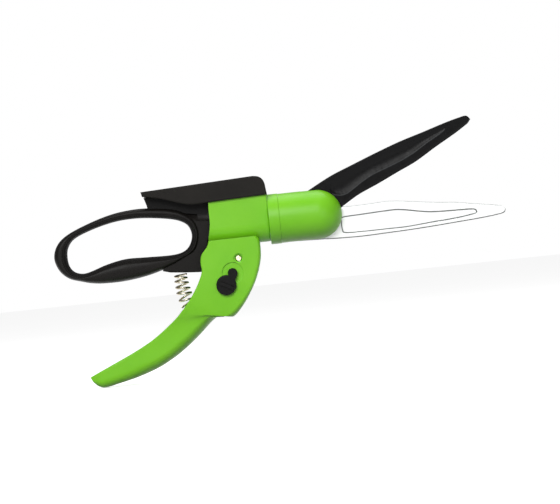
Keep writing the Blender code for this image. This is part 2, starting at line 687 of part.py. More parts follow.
def cross_rib(station, following):
    """A stiffening wall across the channel, with shoulders that follow the rounded front."""
    inner, outer = Vector(station[:2]), Vector(station[2:4])
    thickness = (Vector(following[:2]) - inner).normalized() * RIB_THICKNESS
    half = station[4] - 1.6
    slope = lever_corner(station[4], (outer - inner).length) * 0.75
    top = inner.lerp(outer, 0.12)
    bottom = inner.lerp(outer, 0.94)
    shoulder = top.lerp(bottom, 1.0 - slope / (bottom - top).length)
    outline = [(-half, top), (half, top), (half, shoulder)]
    outline += [(half - slope, bottom), (slope - half, bottom), (-half, shoulder)]
    rings = []
    for move in (Vector((0.0, 0.0)), thickness):
        rings.append([(place.x + move.x, y, place.y + move.y) for y, place in outline])
    return skin(rings)


def spring_shelf(stations):
    """The seat of the return spring, level with the channel's inner edge."""
    first, last = Vector(stations[7][:2]), Vector(stations[8][:2])
    along = (last - first).normalized()
    depth = Vector((-along.y, along.x))
    start = first - along * 1.0
    end = last + along * 5.0
    drop = depth * 7.6
    points = [start + depth * 5.2, end + depth * 5.2, end + drop, start + drop]
    return slab([tuple(p) for p in points], -14.2, 14.2)


def make_lock(body, black, steel):
    outline = arc(KNOB_CENTRE, 7.8, 74, 380, 18) + arc(LOCK_PIVOT, 3.8, -35, 198, 10)
    made = mesh_object(slab(outline, -18.7, -21.4, edge=0.8))
    join(made, rod_y(LOCK_PIVOT, 3.0, -19.5, -14.6, 20))
    ridge = [(-44.2, -45.2), (-43.2, -43.4), (-32.4, -49.4), (-33.4, -51.2)]
    join(made, slab(ridge, -21.0, -22.2, edge=0.4))
    cut(made, rod_y(LOCK_PIVOT, 1.9, -18.0, -12.0, 16))
    finish(made, "lock_knob", body, black)
    flat = math.degrees(math.acos(0.6 / 2.5))
    half_round = arc(LOCK_PIVOT, 2.5, 98 + flat, 98 + 360 - flat, 18)
    made = mesh_object(slab(half_round, -14.2, -4.7))
    join(made, rod_y(LOCK_PIVOT, 1.6, -17.6, -14.0, 16))
    finish(made, "lock_shaft", body, steel)


# Drive line


def make_drive_slider(body, material):
    x0, x1 = -36.6, -22.0
    made = mesh_object(block(x0, x1, -5.6, 5.6, -3.4, 5.4))
    join(made, block(x0, x1, -4.3, 4.3, -9.6, -3.0))
    middle = FINGER_TIP[0]
    cut(made, block(middle - 2.9, middle + 2.9, -6.0, 6.0, -12.0, -3.2))
    cut(made, turned_x([(-30.3, 0.0), (-30.3, 3.1), (-20.0, 3.1), (-20.0, 0.0)], 20))
    finish(made, "drive_slider", body, material)


def make_push_rod(body, material):
    profile = [(-30.0, 0.0), (-30.0, 2.4), (-29.6, 2.8), (5.0, 2.8), (5.0, 4.0), (5.6, 4.5)]
    profile += [(7.0, 4.5), (7.6, 3.6), (7.6, 0.0)]
    finish(mesh_object(turned_x(profile, 24)), "push_rod", body, material)


def make_drive_yoke(body, material):
    cup = [(2.8, 3.3), (2.8, 6.6), (3.2, 7.0), (9.0, 7.0), (9.4, 6.6), (9.4, 0.0)]
    cup += [(8.1, 0.0), (8.1, 4.9), (4.6, 4.9), (4.6, 3.3)]
    made = mesh_object(turned_x(cup, 28))
    fork = [(8.4, -4.0), (8.4, 6.0), (12.5, 6.4), (16.6, 9.4), (17.0, 14.9), (20.35, 14.9), (20.35, 9.3)]
    fork += [(25.05, 9.3), (25.05, 14.9), (27.4, 14.9), (27.4, 6.5), (16.6, 6.5), (13.6, 4.5), (13.0, -4.0)]
    join(made, slab(fork, -5.5, -2.6))
    finish(made, "drive_yoke", body, material)


def make_crank_pin(body, material):
    profile = [(-5.6, 0.0), (-5.6, 1.6), (-5.2, 2.0), (-2.4, 2.0), (-2.4, 1.5), (-0.3, 1.5), (-0.3, 0.0)]
    finish(mesh_object(turned_y(CRANK_PIN, profile, 20)), "crank_pin", body, material)


# Head


def head_bosses(side):
    """The screw and bolt bosses of one head shell, trimmed to lie within its wall."""
    radius = 4.3 if side > 0 else 3.0
    solids = [rod_y((x, z), radius, side * 0.25, side * 18.0) for _, x, z in HEAD_SCREWS]
    if side > 0:
        solids += [rod_y((x, z), 4.3, 2.4, 18.0) for _, x, z in TANG_SCREWS]
    solids.append(rod_y(BLADE_PIVOT, 5.0, side * 18.5, side * (8.6 if side > 0 else 5.9), 20))
    made = mesh_object(solids[0])
    join(made, *solids[1:])
    within = HEAD_RADIUS - 0.7
    limit = [(2.9, 0.0), (2.9, 15.9), (COLLAR_END + 0.65, 15.9), (COLLAR_END + 0.65, within)]
    limit.append((DOME_X, within))
    limit += [(x, max(r, 0.0)) for x, r in arc((DOME_X, 0.0), within, 75, 0, 6)]
    combine(made, turned_x(limit, 36, start=4.0), "INTERSECT")
    bm = bmesh.new()
    bm.from_mesh(made.data)
    bpy.data.objects.remove(made, do_unlink=True)
    return bm


def make_head_shell(side, name, body, material):
    inner = HEAD_RADIUS - HEAD_WALL
    profile = [(0.6, 10.4), (0.6, 16.5), (COLLAR_END + 0.3, 16.7), (COLLAR_END + 0.3, HEAD_RADIUS)]
    profile += [(22.0, HEAD_RADIUS + 0.1), (DOME_X, HEAD_RADIUS)]
    profile += [(x, max(r, 0.0)) for x, r in arc((DOME_X, 0.0), HEAD_RADIUS, 78, 0, 8)]
    profile += [(x, max(r, 0.0)) for x, r in arc((DOME_X, 0.0), inner, 0, 90, 7)]
    profile += [(10.4, inner), (8.8, 14.8), (8.8, 9.2), (6.5, 9.2), (6.5, 14.3), (2.2, 14.3), (2.2, 10.4)]
    start = -90.0 if side > 0 else 90.0
    made = mesh_object(turned_x(profile, 16, start, 180.0, side * GAP / 2))
    join(made, head_bosses(side))
    opening = [(13.35, -25.0), (70.0, -25.0), (70.0, 25.0), (26.8, 25.0), (26.8, 0.0), (13.35, 0.0)]
    cut(made, slab(opening, -SLOT_HALF, SLOT_HALF))
    for _, x, z in HEAD_SCREWS:
        cut(made, screw_hole(x, z, -10.8, 9.4))
    if side > 0:
        for _, x, z in TANG_SCREWS:
            cut(made, screw_hole(x, z, 0.0, 9.4))
    finish(made, name, body, material)


def make_swivel_collar(body, material):
    inner, outer = 17.15, COLLAR_RADIUS
    profile = [(0.3, inner), (0.3, outer - 0.4), (0.7, outer), (COLLAR_END - 0.5, outer)]
    profile += [(COLLAR_END, outer - 0.5), (COLLAR_END, inner)]
    finish(mesh_object(turned_x(profile, 36)), "swivel_collar", body, material)


def make_swivel_spigot(body, material):
    profile = [
        (-15.8, 7.4), (-15.8, 9.6), (-15.4, 10.0), (-14.4, 10.0), (-14.4, 9.0), (-13.0, 9.0),
        (-13.0, 10.0),
    ]
    profile += [
        (-7.6, 10.0), (-7.6, 12.0), (-2.6, 12.0), (-2.6, 10.0), (2.5, 10.0), (2.5, 14.0),
        (6.2, 14.0), (6.2, 7.4),
    ]
    made = mesh_object(turned_x(profile, 24))
    for k in range(8):
        angle = math.radians(45.0 * k)
        y, z = 12.6 * math.sin(angle), 12.6 * math.cos(angle)
        notch = turned_x([(-9.0, 0.0), (-9.0, 1.7), (-1.0, 1.7), (-1.0, 0.0)], 9, start=7.0)
        bmesh.ops.translate(notch, verts=notch.verts, vec=Vector((0.0, y * MM, z * MM)))
        cut(made, notch)
    finish(made, "swivel_spigot", body, material)


def make_retaining_ring(body, material):
    made = mesh_object(turned_x([(-14.1, 9.3), (-14.1, 12.0), (-13.3, 12.0), (-13.3, 9.3)], 28))
    cut(made, block(-15.0, -12.0, -3.0, 3.0, -14.0, 0.0))
    finish(made, "retaining_ring", body, material)


def blade_solid(edge, back, tang, panel, inner, outer, panel_face):
    """A flat blade, ground along its edge on the outer face, with a shallow pressed panel."""
    edge_curve = spline(edge, 2)
    back_curve = spline(back, 2)
    outline = edge_curve + back_curve + tang
    distances = [BEVEL_WIDTH] * len(edge_curve) + [0.35] * (len(back_curve) + len(tang))
    distances[0] = 1.2
    distances[len(edge_curve) - 1] = 1.6
    made = mesh_object(slab(outline, inner, outer, distances=distances))
    sign = 1 if outer > inner else -1
    away = sign if panel_face == outer else -sign
    sides = spline(panel, 2, closed=True)
    shrink = inset(sides, [0.5] * len(sides))
    layers = [
        (panel_face + away * 0.4, sides), (panel_face, sides),
        (panel_face - away * PANEL_DEPTH, shrink),
    ]
    cut(made, skin([[(x, y, z) for x, z in ring] for y, ring in layers]))
    return made


def make_fixed_blade(body, material):
    sides = (BLADE_INNER, BLADE_OUTER, BLADE_INNER)
    made = blade_solid(FIXED_EDGE, FIXED_BACK, FIXED_TANG, FIXED_PANEL, *sides)
    cut(made, rod_y(BLADE_PIVOT, 3.1, -4.0, 4.0, 24))
    for _, x, z in TANG_SCREWS:
        cut(made, rod_y((x, z), 1.8, -4.0, 4.0))
    finish(made, "fixed_blade", body, material)


def make_moving_blade(body, material):
    edge, back, tang = MOVING_EDGE[::-1], MOVING_BACK[::-1], MOVING_TANG[::-1]
    made = blade_solid(edge, back, tang, MOVING_PANEL, -BLADE_INNER, -BLADE_OUTER, -BLADE_OUTER)
    cut(made, rod_y(BLADE_PIVOT, 3.1, -4.0, 4.0, 24), rod_y(CRANK_PIN, 1.8, -4.0, 4.0, 20))
    finish(made, "moving_blade", body, material)


def make_blade_bolt(body, material):
    profile = [(-5.4, 0.0), (-5.4, 4.2), (-4.6, 5.3), (-2.4, 5.3), (-2.4, 2.8), (7.8, 2.8)]
    profile += [(8.2, 2.4), (8.2, 0.0)]
    made = mesh_object(turned_y(BLADE_PIVOT, profile, 24))
    cut(made, block(19.0, 32.0, -6.0, -4.6, -0.5, 0.5))
    finish(made, "blade_bolt", body, material)
    washer = [(2.4, 3.1), (3.0, 3.1), (3.6, 5.6), (3.0, 5.6)]
    finish(mesh_object(turned_y(BLADE_PIVOT, washer, 24)), "blade_spring_washer", body, material)
    made = mesh_object(turned_y(BLADE_PIVOT, [(4.0, 3.1), (4.0, 5.0), (7.4, 5.0), (7.4, 3.1)], 6))
    cut(made, rod_y(BLADE_PIVOT, 3.1, 2.0, 9.0, 24))
    finish(made, "blade_nut", body, material)


# Release lever


def make_release_lever(body, material):
    made = mesh_object(slab(HOOD_OUTLINE, -HOOD_HALF, HOOD_HALF, edge=1.2))
    cut(made, slab(HOOD_CAVITY, -HOOD_INNER, HOOD_INNER))
    x, z = RELEASE_PIVOT
    for side in (-1, 1):
        ear = [(x - 5.0, z + 7.0), (x - 3.6, z - 1.0)] + arc((x, z), 3.2, 200, 340, 6)
        ear += [(x + 3.6, z - 1.0), (x + 5.0, z + 7.0)]
        join(made, slab(ear, side * 6.0, side * 9.0))
    tooth = [(-5.6, 33.4), (-5.4, 13.4), (-4.9, 12.5), (-4.1, 12.5), (-3.6, 13.4), (-3.4, 32.0)]
    join(made, slab(tooth, -2.6, 2.6))
    cut(made, rod_y(RELEASE_PIVOT, 1.8, -12.0, 12.0))
    finish(made, "release_lever", body, material)


def main():
    clear_scene()
    materials = make_materials()
    bodies = make_bodies()
    handle, head = bodies["handle"], bodies["head"]
    green, black = materials["green_plastic"], materials["black_plastic"]
    plated, nylon = materials["plated_steel"], materials["pale_nylon"]
    make_handle_frame(handle, black)
    make_grip_liner(handle, materials["soft_lining"])
    make_barrel_shell(-1, "barrel_shell_near", handle, green)
    make_barrel_shell(1, "barrel_shell_far", handle, green)
    for name, x, z in BARREL_SCREWS:
        make_screw(name, x, z, 14.8, -11.0, handle, plated)
    make_pins(handle, plated)
    make_springs(handle, materials["spring_steel"])
    make_squeeze_lever(bodies["lever"], green)
    make_lock(bodies["lock"], black, plated)
    make_drive_slider(bodies["slider"], nylon)
    make_push_rod(bodies["slider"], plated)
    make_drive_yoke(bodies["yoke"], nylon)
    make_head_shell(-1, "head_shell_near", head, green)
    make_head_shell(1, "head_shell_far", head, green)
    for name, x, z in HEAD_SCREWS:
        make_screw(name, x, z, 11.3, -9.6, head, plated)
    for name, x, z in TANG_SCREWS:
        make_screw(name, x, z, 11.3, 0.5, head, plated)
    make_swivel_collar(head, green)
    make_swivel_spigot(head, nylon)
    make_retaining_ring(head, plated)
    make_fixed_blade(head, materials["bright_steel"])
    make_blade_bolt(head, plated)
    make_moving_blade(bodies["blade"], materials["coated_steel"])
    make_crank_pin(bodies["blade"], plated)
    make_release_lever(bodies["release"], materials["hood_plastic"])


main()
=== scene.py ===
import math

import bmesh
import bpy
from mathutils import Matrix, Vector


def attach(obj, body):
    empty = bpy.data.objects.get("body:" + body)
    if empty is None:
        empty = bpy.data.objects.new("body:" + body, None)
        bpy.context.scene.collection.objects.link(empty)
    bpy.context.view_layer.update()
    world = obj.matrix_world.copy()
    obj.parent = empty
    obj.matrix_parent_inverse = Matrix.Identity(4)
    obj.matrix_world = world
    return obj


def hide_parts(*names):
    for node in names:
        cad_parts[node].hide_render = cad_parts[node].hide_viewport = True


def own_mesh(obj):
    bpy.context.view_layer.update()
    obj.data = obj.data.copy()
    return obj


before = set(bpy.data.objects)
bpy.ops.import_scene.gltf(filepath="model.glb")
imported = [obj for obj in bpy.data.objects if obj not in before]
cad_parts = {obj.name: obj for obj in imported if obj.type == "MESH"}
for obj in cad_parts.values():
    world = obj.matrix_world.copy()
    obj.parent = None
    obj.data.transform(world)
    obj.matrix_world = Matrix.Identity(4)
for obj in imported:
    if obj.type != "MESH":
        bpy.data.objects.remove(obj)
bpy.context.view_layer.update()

# Lengths are in millimetres in the tool's own frame, as in the CAD: X runs along the barrel to the
# blade tips, from the seam between barrel and head; Z is up; the barrel axis is y = 0, z = 0.
MM = 0.001
CENTRE_X = 7.6
LOWEST_Z = -116.9
GAP = 0.3

LEVER_PIVOT = (-26.3, -27.5)
BLADE_PIVOT = (25.5, 0.0)
LOCK_PIVOT = (-32.0, -38.4)
KNOB_CENTRE = (-37.8, -47.2)
RELEASE_PIVOT = (-33.0, 26.0)
LOCK_NOTCH = (-34.63, -36.56)
FINGER_TIP = (-29.10, -6.22)
CRANK_PIN = (22.70, 11.67)

# Sections as (inner x, inner z, outer x, outer z, half width).
LOOP_STATIONS = [
    (-60.9, -6.5, -54.6, -6.0, 8.8),
    (-62.6, 0.9, -56.8, 4.6, 8.6),
    (-67.8, 5.4, -63.6, 11.4, 8.4),
    (-76.5, 8.3, -75.0, 16.2, 8.2),
    (-91.8, 10.7, -93.4, 18.6, 8.0),
    (-106.1, 11.6, -107.5, 18.6, 8.0),
    (-120.6, 10.5, -122.3, 16.6, 8.0),
    (-136.6, 6.8, -139.6, 11.7, 8.0),
    (-151.6, 1.1, -157.0, 4.6, 8.2),
    (-157.7, -5.5, -166.0, -2.8, 8.6),
    (-159.2, -13.2, -169.4, -12.6, 9.0),
    (-158.0, -20.7, -166.6, -22.4, 9.4),
    (-154.0, -25.3, -159.6, -29.5, 9.8),
    (-147.4, -26.9, -149.6, -33.1, 10.2),
    (-140.0, -25.3, -141.5, -35.2, 10.8),
    (-128.8, -21.7, -132.0, -36.2, 11.2),
    (-114.1, -19.0, -116.8, -36.1, 11.4),
    (-97.4, -19.3, -99.5, -33.9, 11.0),
    (-79.4, -19.7, -82.0, -29.2, 10.0),
    (-69.6, -18.3, -69.4, -23.6, 9.2),
    (-63.8, -14.1, -58.8, -17.8, 9.0),
]
LINER_DEPTH = 3.1
GROOVE = 0.35
GROOVE_REACH = 0.7
LOOP_POWER = 2.6

HUB_RADIUS = 8.0
NECK_HALF = 8.5
PLATE_HALF = 7.0
PLATE_LOWER = [(-85.0, -26.0), (-86.0, -31.5), (-80.3, -33.1), (-70.0, -34.2), (-58.2, -35.1)]
PLATE_UPPER = [
    (-33.0, -17.9), (-49.4, -17.9), (-48.9, -13.0), (-48.2, -10.6), (-38.5, -10.6), (-38.5, 4.4),
    (-50.0, 4.4), (-56.0, 4.8), (-61.0, 8.6), (-66.0, 12.0), (-72.0, 12.0), (-72.0, 6.5),
    (-66.0, 2.0), (-62.6, -4.0), (-63.4, -12.0), (-68.0, -18.0), (-76.0, -22.0),
]
WEB_HALF = 5.0
WEB_OUTLINE = [
    (-92.6, 15.0), (-93.4, 20.5), (-94.6, 24.6), (-95.3, 26.7), (-62.0, 26.7), (-61.0, 22.6),
    (-46.3, 22.6), (-46.3, 18.0), (-43.5, 17.8), (-43.5, 7.0), (-60.0, 9.0), (-72.0, 13.5),
]
LEDGE_HALF = 7.5
LEDGE_SECTIONS = [
    (-77.0, 13.8, 13.2), (-71.0, 13.2, 11.9), (-65.0, 12.2, 9.8), (-59.5, 11.3, 7.2),
    (-54.5, 10.7, 4.8), (-46.0, 10.4, 4.2), (-38.6, 10.0, 4.0),
]
PIN_BORE = 2.6

BARREL_HALF = 15.0
BARREL_ROUND_Z = -2.0
BARREL_TOP = 21.0
BARREL_WALL = 2.4
BARREL_SHOULDER = 2.0
BARREL_FRONT = 0.08
ROD_GUIDE = 10.4
SCREW_CORE = 1.8
SCREW_HEAD = 3.1
BARREL_REAR = [(-45.3, 24.0), (-45.3, 18.3), (-45.6, 11.5), (-45.7, 0.6), (-48.0, -11.0), (-48.8, -20.0)]
BARREL_SCREWS = [(-42.0, 8.0), (-42.0, -4.6), (-24.5, 12.6)]

LEVER_STATIONS = [
    (-48.1, -11.9, -11.2, -11.7, 18.4),
    (-49.9, -16.5, -8.9, -15.1, 18.4),
    (-54.6, -22.0, -8.7, -22.0, 18.4),
    (-55.9, -28.0, -9.2, -28.4, 18.4),
    (-55.6, -33.9, -10.6, -34.4, 18.4),
    (-57.0, -38.6, -12.4, -39.6, 18.4),
    (-60.6, -45.7, -14.9, -45.8, 18.4),
    (-65.2, -52.9, -19.6, -54.2, 18.2),
    (-71.6, -60.8, -26.4, -64.0, 17.4),
    (-75.0, -64.4, -34.4, -71.9, 16.4),
    (-78.0, -67.6, -38.6, -70.6, 15.6),
    (-81.4, -70.6, -43.2, -69.9, 14.8),
    (-85.4, -73.8, -48.0, -71.3, 14.1),
    (-90.2, -77.5, -53.1, -75.0, 13.5),
    (-95.0, -80.9, -61.6, -82.7, 12.9),
    (-101.4, -85.0, -72.1, -91.2, 12.4),
    (-109.9, -89.5, -84.3, -99.4, 12.0),
    (-117.5, -93.2, -98.3, -106.4, 11.8),
    (-124.9, -96.5, -114.1, -111.5, 11.6),
    (-132.3, -99.7, -128.7, -114.8, 11.2),
    (-139.8, -103.0, -139.3, -116.8, 10.4),
    (-146.0, -105.7, -144.6, -115.6, 9.4),
    (-150.6, -107.8, -148.6, -112.0, 8.0),
]
LEVER_WALL = 2.8
LEVER_CORNER = 3.0
TAIL_CORNER = 11.0
TAIL_START_HALF = 18.2
TAIL_FULL_HALF = 14.0
RIB_THICKNESS = 1.8
LEVER_RIB = [(-27.0, -21.6), (-10.6, -21.6), (-11.6, -38.0), (-15.6, -47.0), (-24.0, -52.0),
             (-33.0, -42.0), (-32.6, -30.0)]
FINGER_RADIUS = 2.5
FINGER_HALF = 3.6
KNOB_FACES = (-18.7, -21.4)
KNOB_RIDGE = [(-44.6, -45.8), (-43.0, -42.8), (-31.6, -48.8), (-33.2, -51.8)]

HEAD_RADIUS = 19.2
HEAD_WALL = 2.6
DOME_X = 38.3
COLLAR_RADIUS = 19.5
COLLAR_END = 8.3
SLOT_HALF = 2.7
HEAD_SCREWS = [(12.3, 12.6), (11.95, -12.5)]
TANG_SCREWS = [(19.5, -11.0), (41.0, -9.0)]
HEAD_OPENING = [(13.35, -25.0), (70.0, -25.0), (70.0, 25.0), (26.8, 25.0), (26.8, 0.0), (13.35, 0.0)]

BLADE_BORE = 3.1
BLADE_INNER = 0.15
BLADE_OUTER = 2.1
BEVEL_WIDTH = 2.6
PANEL_BOWL = 1.1
PANEL_STEP = 0.40
UNMARKED = 9.0
MOVING_BACK = [(32.8, 19.2), (51.1, 28.6), (69.9, 36.0), (88.6, 43.1), (107.3, 49.7), (126.0, 55.2),
               (144.5, 60.8), (155.4, 63.6), (161.4, 64.5), (164.4, 61.4)]
MOVING_EDGE = [(162.0, 58.3), (151.1, 51.5), (135.1, 42.6), (119.1, 33.2), (103.4, 26.1), (87.5, 18.8),
               (71.9, 12.1), (58.2, 4.2)]
MOVING_TANG = [(50.0, -0.6), (40.0, -5.6), (31.0, -7.6), (24.0, -7.8), (18.6, -4.6), (17.6, 1.0),
               (18.4, 7.0), (18.4, 12.0), (20.4, 15.2), (23.6, 15.6), (27.0, 16.2)]
MOVING_PANEL = [(60.8, 13.2), (75.2, 21.6), (84.6, 26.6), (96.4, 30.8), (107.3, 34.9), (117.6, 39.8),
                (128.0, 46.2), (136.0, 50.6), (142.4, 54.4), (144.2, 57.0), (139.0, 57.0), (120.0, 51.4),
                (100.0, 45.0), (80.0, 37.6), (64.0, 31.2), (52.0, 25.0), (50.0, 16.0)]
FIXED_EDGE = [(60.8, 4.0), (72.6, 3.9), (83.4, 4.3), (94.2, 4.6), (105.8, 3.5), (119.1, 1.5),
              (132.4, -0.2), (145.8, -1.6), (159.0, -3.9), (172.3, -6.1), (182.0, -8.0)]
FIXED_BACK = [(184.6, -10.8), (183.3, -13.6), (175.9, -15.1), (162.3, -16.4), (144.1, -17.6),
              (125.9, -18.8), (107.9, -19.7), (89.8, -20.3), (71.8, -20.8), (53.8, -20.5), (42.6, -20.0)]
FIXED_TANG = [(42.2, 7.84), (36.0, 9.4), (28.0, 10.6), (20.0, 9.6), (16.6, 5.0), (16.2, -4.0),
              (15.4, -12.5), (14.2, -18.6), (22.0, -19.2), (43.4, -19.98)]
FIXED_PANEL = [(57.6, -4.2), (71.8, -3.5), (82.6, -3.0), (91.6, -2.7), (100.7, -2.7), (109.5, -4.1),
               (118.4, -5.9), (127.2, -7.2), (140.6, -7.8), (154.1, -8.1), (160.2, -8.6), (161.8, -10.2),
               (160.0, -12.0), (144.5, -14.0), (126.3, -15.2), (108.2, -16.6), (90.1, -16.8),
               (72.2, -16.8), (58.7, -16.4), (56.4, -14.0), (56.2, -7.0)]

HOOD_HALF = 17.6
HOOD_INNER = 15.4
HOOD_OUTLINE = [
    (-96.6, 31.2), (-9.4, 34.7), (-5.8, 34.2), (-3.0, 32.8), (-1.1, 30.4), (-0.2, 27.4), (0.7, 19.4),
    (-45.3, 18.0), (-53.0, 17.5), (-61.0, 17.9), (-71.0, 20.8), (-81.4, 24.4), (-93.4, 27.0), (-95.8, 27.4),
]
HOOD_CAVITY = [(-99.0, 29.2), (-8.4, 32.6), (-5.6, 31.8), (-3.9, 29.6), (-2.9, 26.0), (-2.4, 21.6),
               (0.3, 21.5), (3.0, 21.5), (3.0, 10.0), (-99.0, 10.0)]
HOOD_TOOTH = [(-5.6, 33.4), (-5.4, 13.4), (-4.9, 12.5), (-4.1, 12.5), (-3.6, 13.4), (-3.4, 32.0)]

SPRING_AXIS = [(-72.9, -35.5), (-72.8, -40.0), (-72.2, -46.0), (-71.2, -52.0), (-68.6, -58.9)]
SPRING_RADII = (4.4, 5.8)
SPRING_WIRE = 0.78
SPRING_TURNS = 5.5
WIRE_SIDES = 12


def place(x, y, z):
    """A point of the tool's own frame, in the metres of the CAD's frame."""
    return Vector(((x - CENTRE_X) * MM, y * MM, (z - LOWEST_Z) * MM))


# Outlines


def spline(points, steps, closed=False):
    """A smooth curve through points of any dimension."""
    count = len(points)
    made = []
    for i in range(count if closed else count - 1):
        spots = [i + k for k in (-1, 0, 1, 2)]
        near = [points[k % count if closed else min(max(k, 0), count - 1)] for k in spots]
        for s in range(steps):
            t = s / steps
            weights = (
                -0.5 * t + t * t - 0.5 * t ** 3,
                1 - 2.5 * t * t + 1.5 * t ** 3,
                0.5 * t + 2 * t * t - 1.5 * t ** 3,
                -0.5 * t * t + 0.5 * t ** 3,
            )
            made.append(tuple(sum(w * p[d] for w, p in zip(weights, near)) for d in range(len(near[0]))))
    if not closed:
        made.append(tuple(points[-1]))
    return made


def arc(centre, radius, start, end, steps):
    made = []
    for k in range(steps + 1):
        angle = math.radians(start + (end - start) * k / steps)
        made.append((centre[0] + radius * math.cos(angle), centre[1] + radius * math.sin(angle)))
    return made


def rounded(points, radius, steps=5):
    """A closed outline with its corners rounded."""
    made = []
    for i, point in enumerate(points):
        here = Vector(point)
        before, after = Vector(points[i - 1]) - here, Vector(points[(i + 1) % len(points)]) - here
        reach = min(radius, before.length * 0.45, after.length * 0.45)
        start, end = here + before.normalized() * reach, here + after.normalized() * reach
        for k in range(steps + 1):
            t = k / steps
            made.append(tuple(start * (1 - t) ** 2 + here * 2 * t * (1 - t) + end * t * t))
    return made


def inset(outline, distance):
    """A closed outline drawn inward by one distance."""
    count = len(outline)
    area = sum(outline[i - 1][0] * outline[i][1] - outline[i][0] * outline[i - 1][1] for i in range(count))
    turn = 1.0 if area > 0 else -1.0
    made = []
    for i in range(count):
        before = (Vector(outline[i]) - Vector(outline[i - 1])).normalized()
        after = (Vector(outline[(i + 1) % count]) - Vector(outline[i])).normalized()
        normal = Vector((-(before + after).y, (before + after).x)) * turn
        normal.normalize()
        along = Vector((-before.y, before.x)) * turn
        reach = distance / max(normal.dot(along), 0.6)
        made.append((outline[i][0] + normal.x * reach, outline[i][1] + normal.y * reach))
    return made


def distance_to(outline, x, z):
    """Distance from a point to a closed outline, positive inside."""
    best, inside = 1e9, False
    ax, az = outline[-1]
    for bx, bz in outline:
        dx, dz = bx - ax, bz - az
        t = max(0.0, min(1.0, ((x - ax) * dx + (z - az) * dz) / max(dx * dx + dz * dz, 1e-12)))
        gap = math.hypot(x - ax - dx * t, z - az - dz * t)
        best = min(best, gap)
        if (az > z) != (bz > z) and x < ax + (z - az) * dx / dz:
            inside = not inside
        ax, az = bx, bz
    return best if inside else -best


# Solids


def skin(rings, looped=False):
    """A closed solid through rings of equal length, capped at its ends or joined end to end."""
    bm = bmesh.new()
    rows = [[bm.verts.new(place(*point)) for point in ring] for ring in rings]
    width = len(rows[0])
    pairs = list(zip(rows, rows[1:] + rows[:1])) if looped else list(zip(rows, rows[1:]))
    for low, high in pairs:
        for k in range(width):
            bm.faces.new((low[k], low[(k + 1) % width], high[(k + 1) % width], high[k]))
    if not looped:
        bm.faces.new(rows[0])
        bm.faces.new(rows[-1])
    bmesh.ops.remove_doubles(bm, verts=bm.verts, dist=2e-7)
    bmesh.ops.dissolve_degenerate(bm, edges=bm.edges, dist=1e-7)
    bmesh.ops.recalc_face_normals(bm, faces=bm.faces)
    return bm


def slab(outline, y0, y1, edge=0.0, steps=4):
    """A plate in the XZ plane whose rims are rounded by edge."""
    if not edge:
        return skin([[(x, y, z) for x, z in outline] for y in (y0, y1)])
    sign = 1 if y1 > y0 else -1
    layers = []
    for k in range(steps + 1):
        angle = math.pi / 2 * k / steps
        layers.append((y0 + sign * edge * (1 - math.sin(angle)), edge * (1 - math.cos(angle))))
    layers = layers[::-1]
    far = [(y1 - (y - y0), drawn) for y, drawn in layers[::-1]]
    rings = []
    for y, drawn in layers + far:
        ring = inset(outline, drawn) if drawn > 1e-6 else outline
        rings.append([(x, y, z) for x, z in ring])
    return skin(rings)


def turned_y(centre, profile, segments):
    """A solid turned about an axis along Y, from (y, radius) points."""
    rings = []
    for k in range(segments):
        angle = 2 * math.pi * k / segments
        cos, sin = math.cos(angle), math.sin(angle)
        rings.append([(centre[0] + r * cos, y, centre[1] + r * sin) for y, r in profile])
    return skin(rings, looped=True)


def turned_x(profile, segments, start=0.0, sweep=360.0, shift=0.0):
    """A solid turned about the barrel's axis, wholly or in part, from (x, radius) points."""
    full = sweep >= 360.0
    rings = []
    for k in range(segments if full else segments + 1):
        angle = math.radians(start + sweep * k / segments)
        rings.append([(x, r * math.cos(angle) + shift, r * math.sin(angle)) for x, r in profile])
    return skin(rings, looped=full)


def rod_y(centre, radius, y0, y1, segments=40):
    return turned_y(centre, [(y0, 0.0), (y0, radius), (y1, radius), (y1, 0.0)], segments)


def block(x0, x1, y0, y1, z0, z1):
    return slab([(x0, z0), (x1, z0), (x1, z1), (x0, z1)], y0, y1)


def screw_hole(x, z, start, seat):
    profile = [(start, 0.0), (start, SCREW_CORE), (seat, SCREW_CORE)]
    profile += [(seat, SCREW_HEAD), (25.0, SCREW_HEAD), (25.0, 0.0)]
    return turned_y((x, z), profile, 29)


# Objects


def mesh_object(bm, name="tool"):
    mesh = bpy.data.meshes.new(name)
    bm.to_mesh(mesh)
    bm.free()
    made = bpy.data.objects.new(name, mesh)
    bpy.context.scene.collection.objects.link(made)
    return made


def combine(target, bm, operation):
    tool = mesh_object(bm)
    modifier = target.modifiers.new("shape", "BOOLEAN")
    modifier.operation = operation
    modifier.solver = "EXACT"
    modifier.object = tool
    result = bpy.data.meshes.new_from_object(target.evaluated_get(bpy.context.evaluated_depsgraph_get()))
    target.modifiers.clear()
    target.data = result
    bpy.data.objects.remove(tool, do_unlink=True)


def join(target, *solids):
    for solid in solids:
        combine(target, solid, "UNION")


def cut(target, *solids):
    for solid in solids:
        combine(target, solid, "DIFFERENCE")


def finish(made, name, body, node, material, smooth=26.0):
    """Names and shades a piece, hangs it on its CAD body and lets it stand for its CAD node."""
    made.name = name
    made.data.name = name
    bm = bmesh.new()
    bm.from_mesh(made.data)
    bmesh.ops.remove_doubles(bm, verts=bm.verts, dist=2e-6)
    bmesh.ops.dissolve_degenerate(bm, edges=bm.edges, dist=2e-6)
    bm.to_mesh(made.data)
    bm.free()
    made.data.materials.clear()
    made.data.materials.append(material)
    made.data.polygons.foreach_set("use_smooth", [True] * len(made.data.polygons))
    made.data.polygons.foreach_set("material_index", [0] * len(made.data.polygons))
    made.data.set_sharp_from_angle(angle=math.radians(smooth))
    weighted = made.modifiers.new("even_normals", "WEIGHTED_NORMAL")
    weighted.keep_sharp = True
    weighted.weight = 80
    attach(made, body)
    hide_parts(node)


# Materials


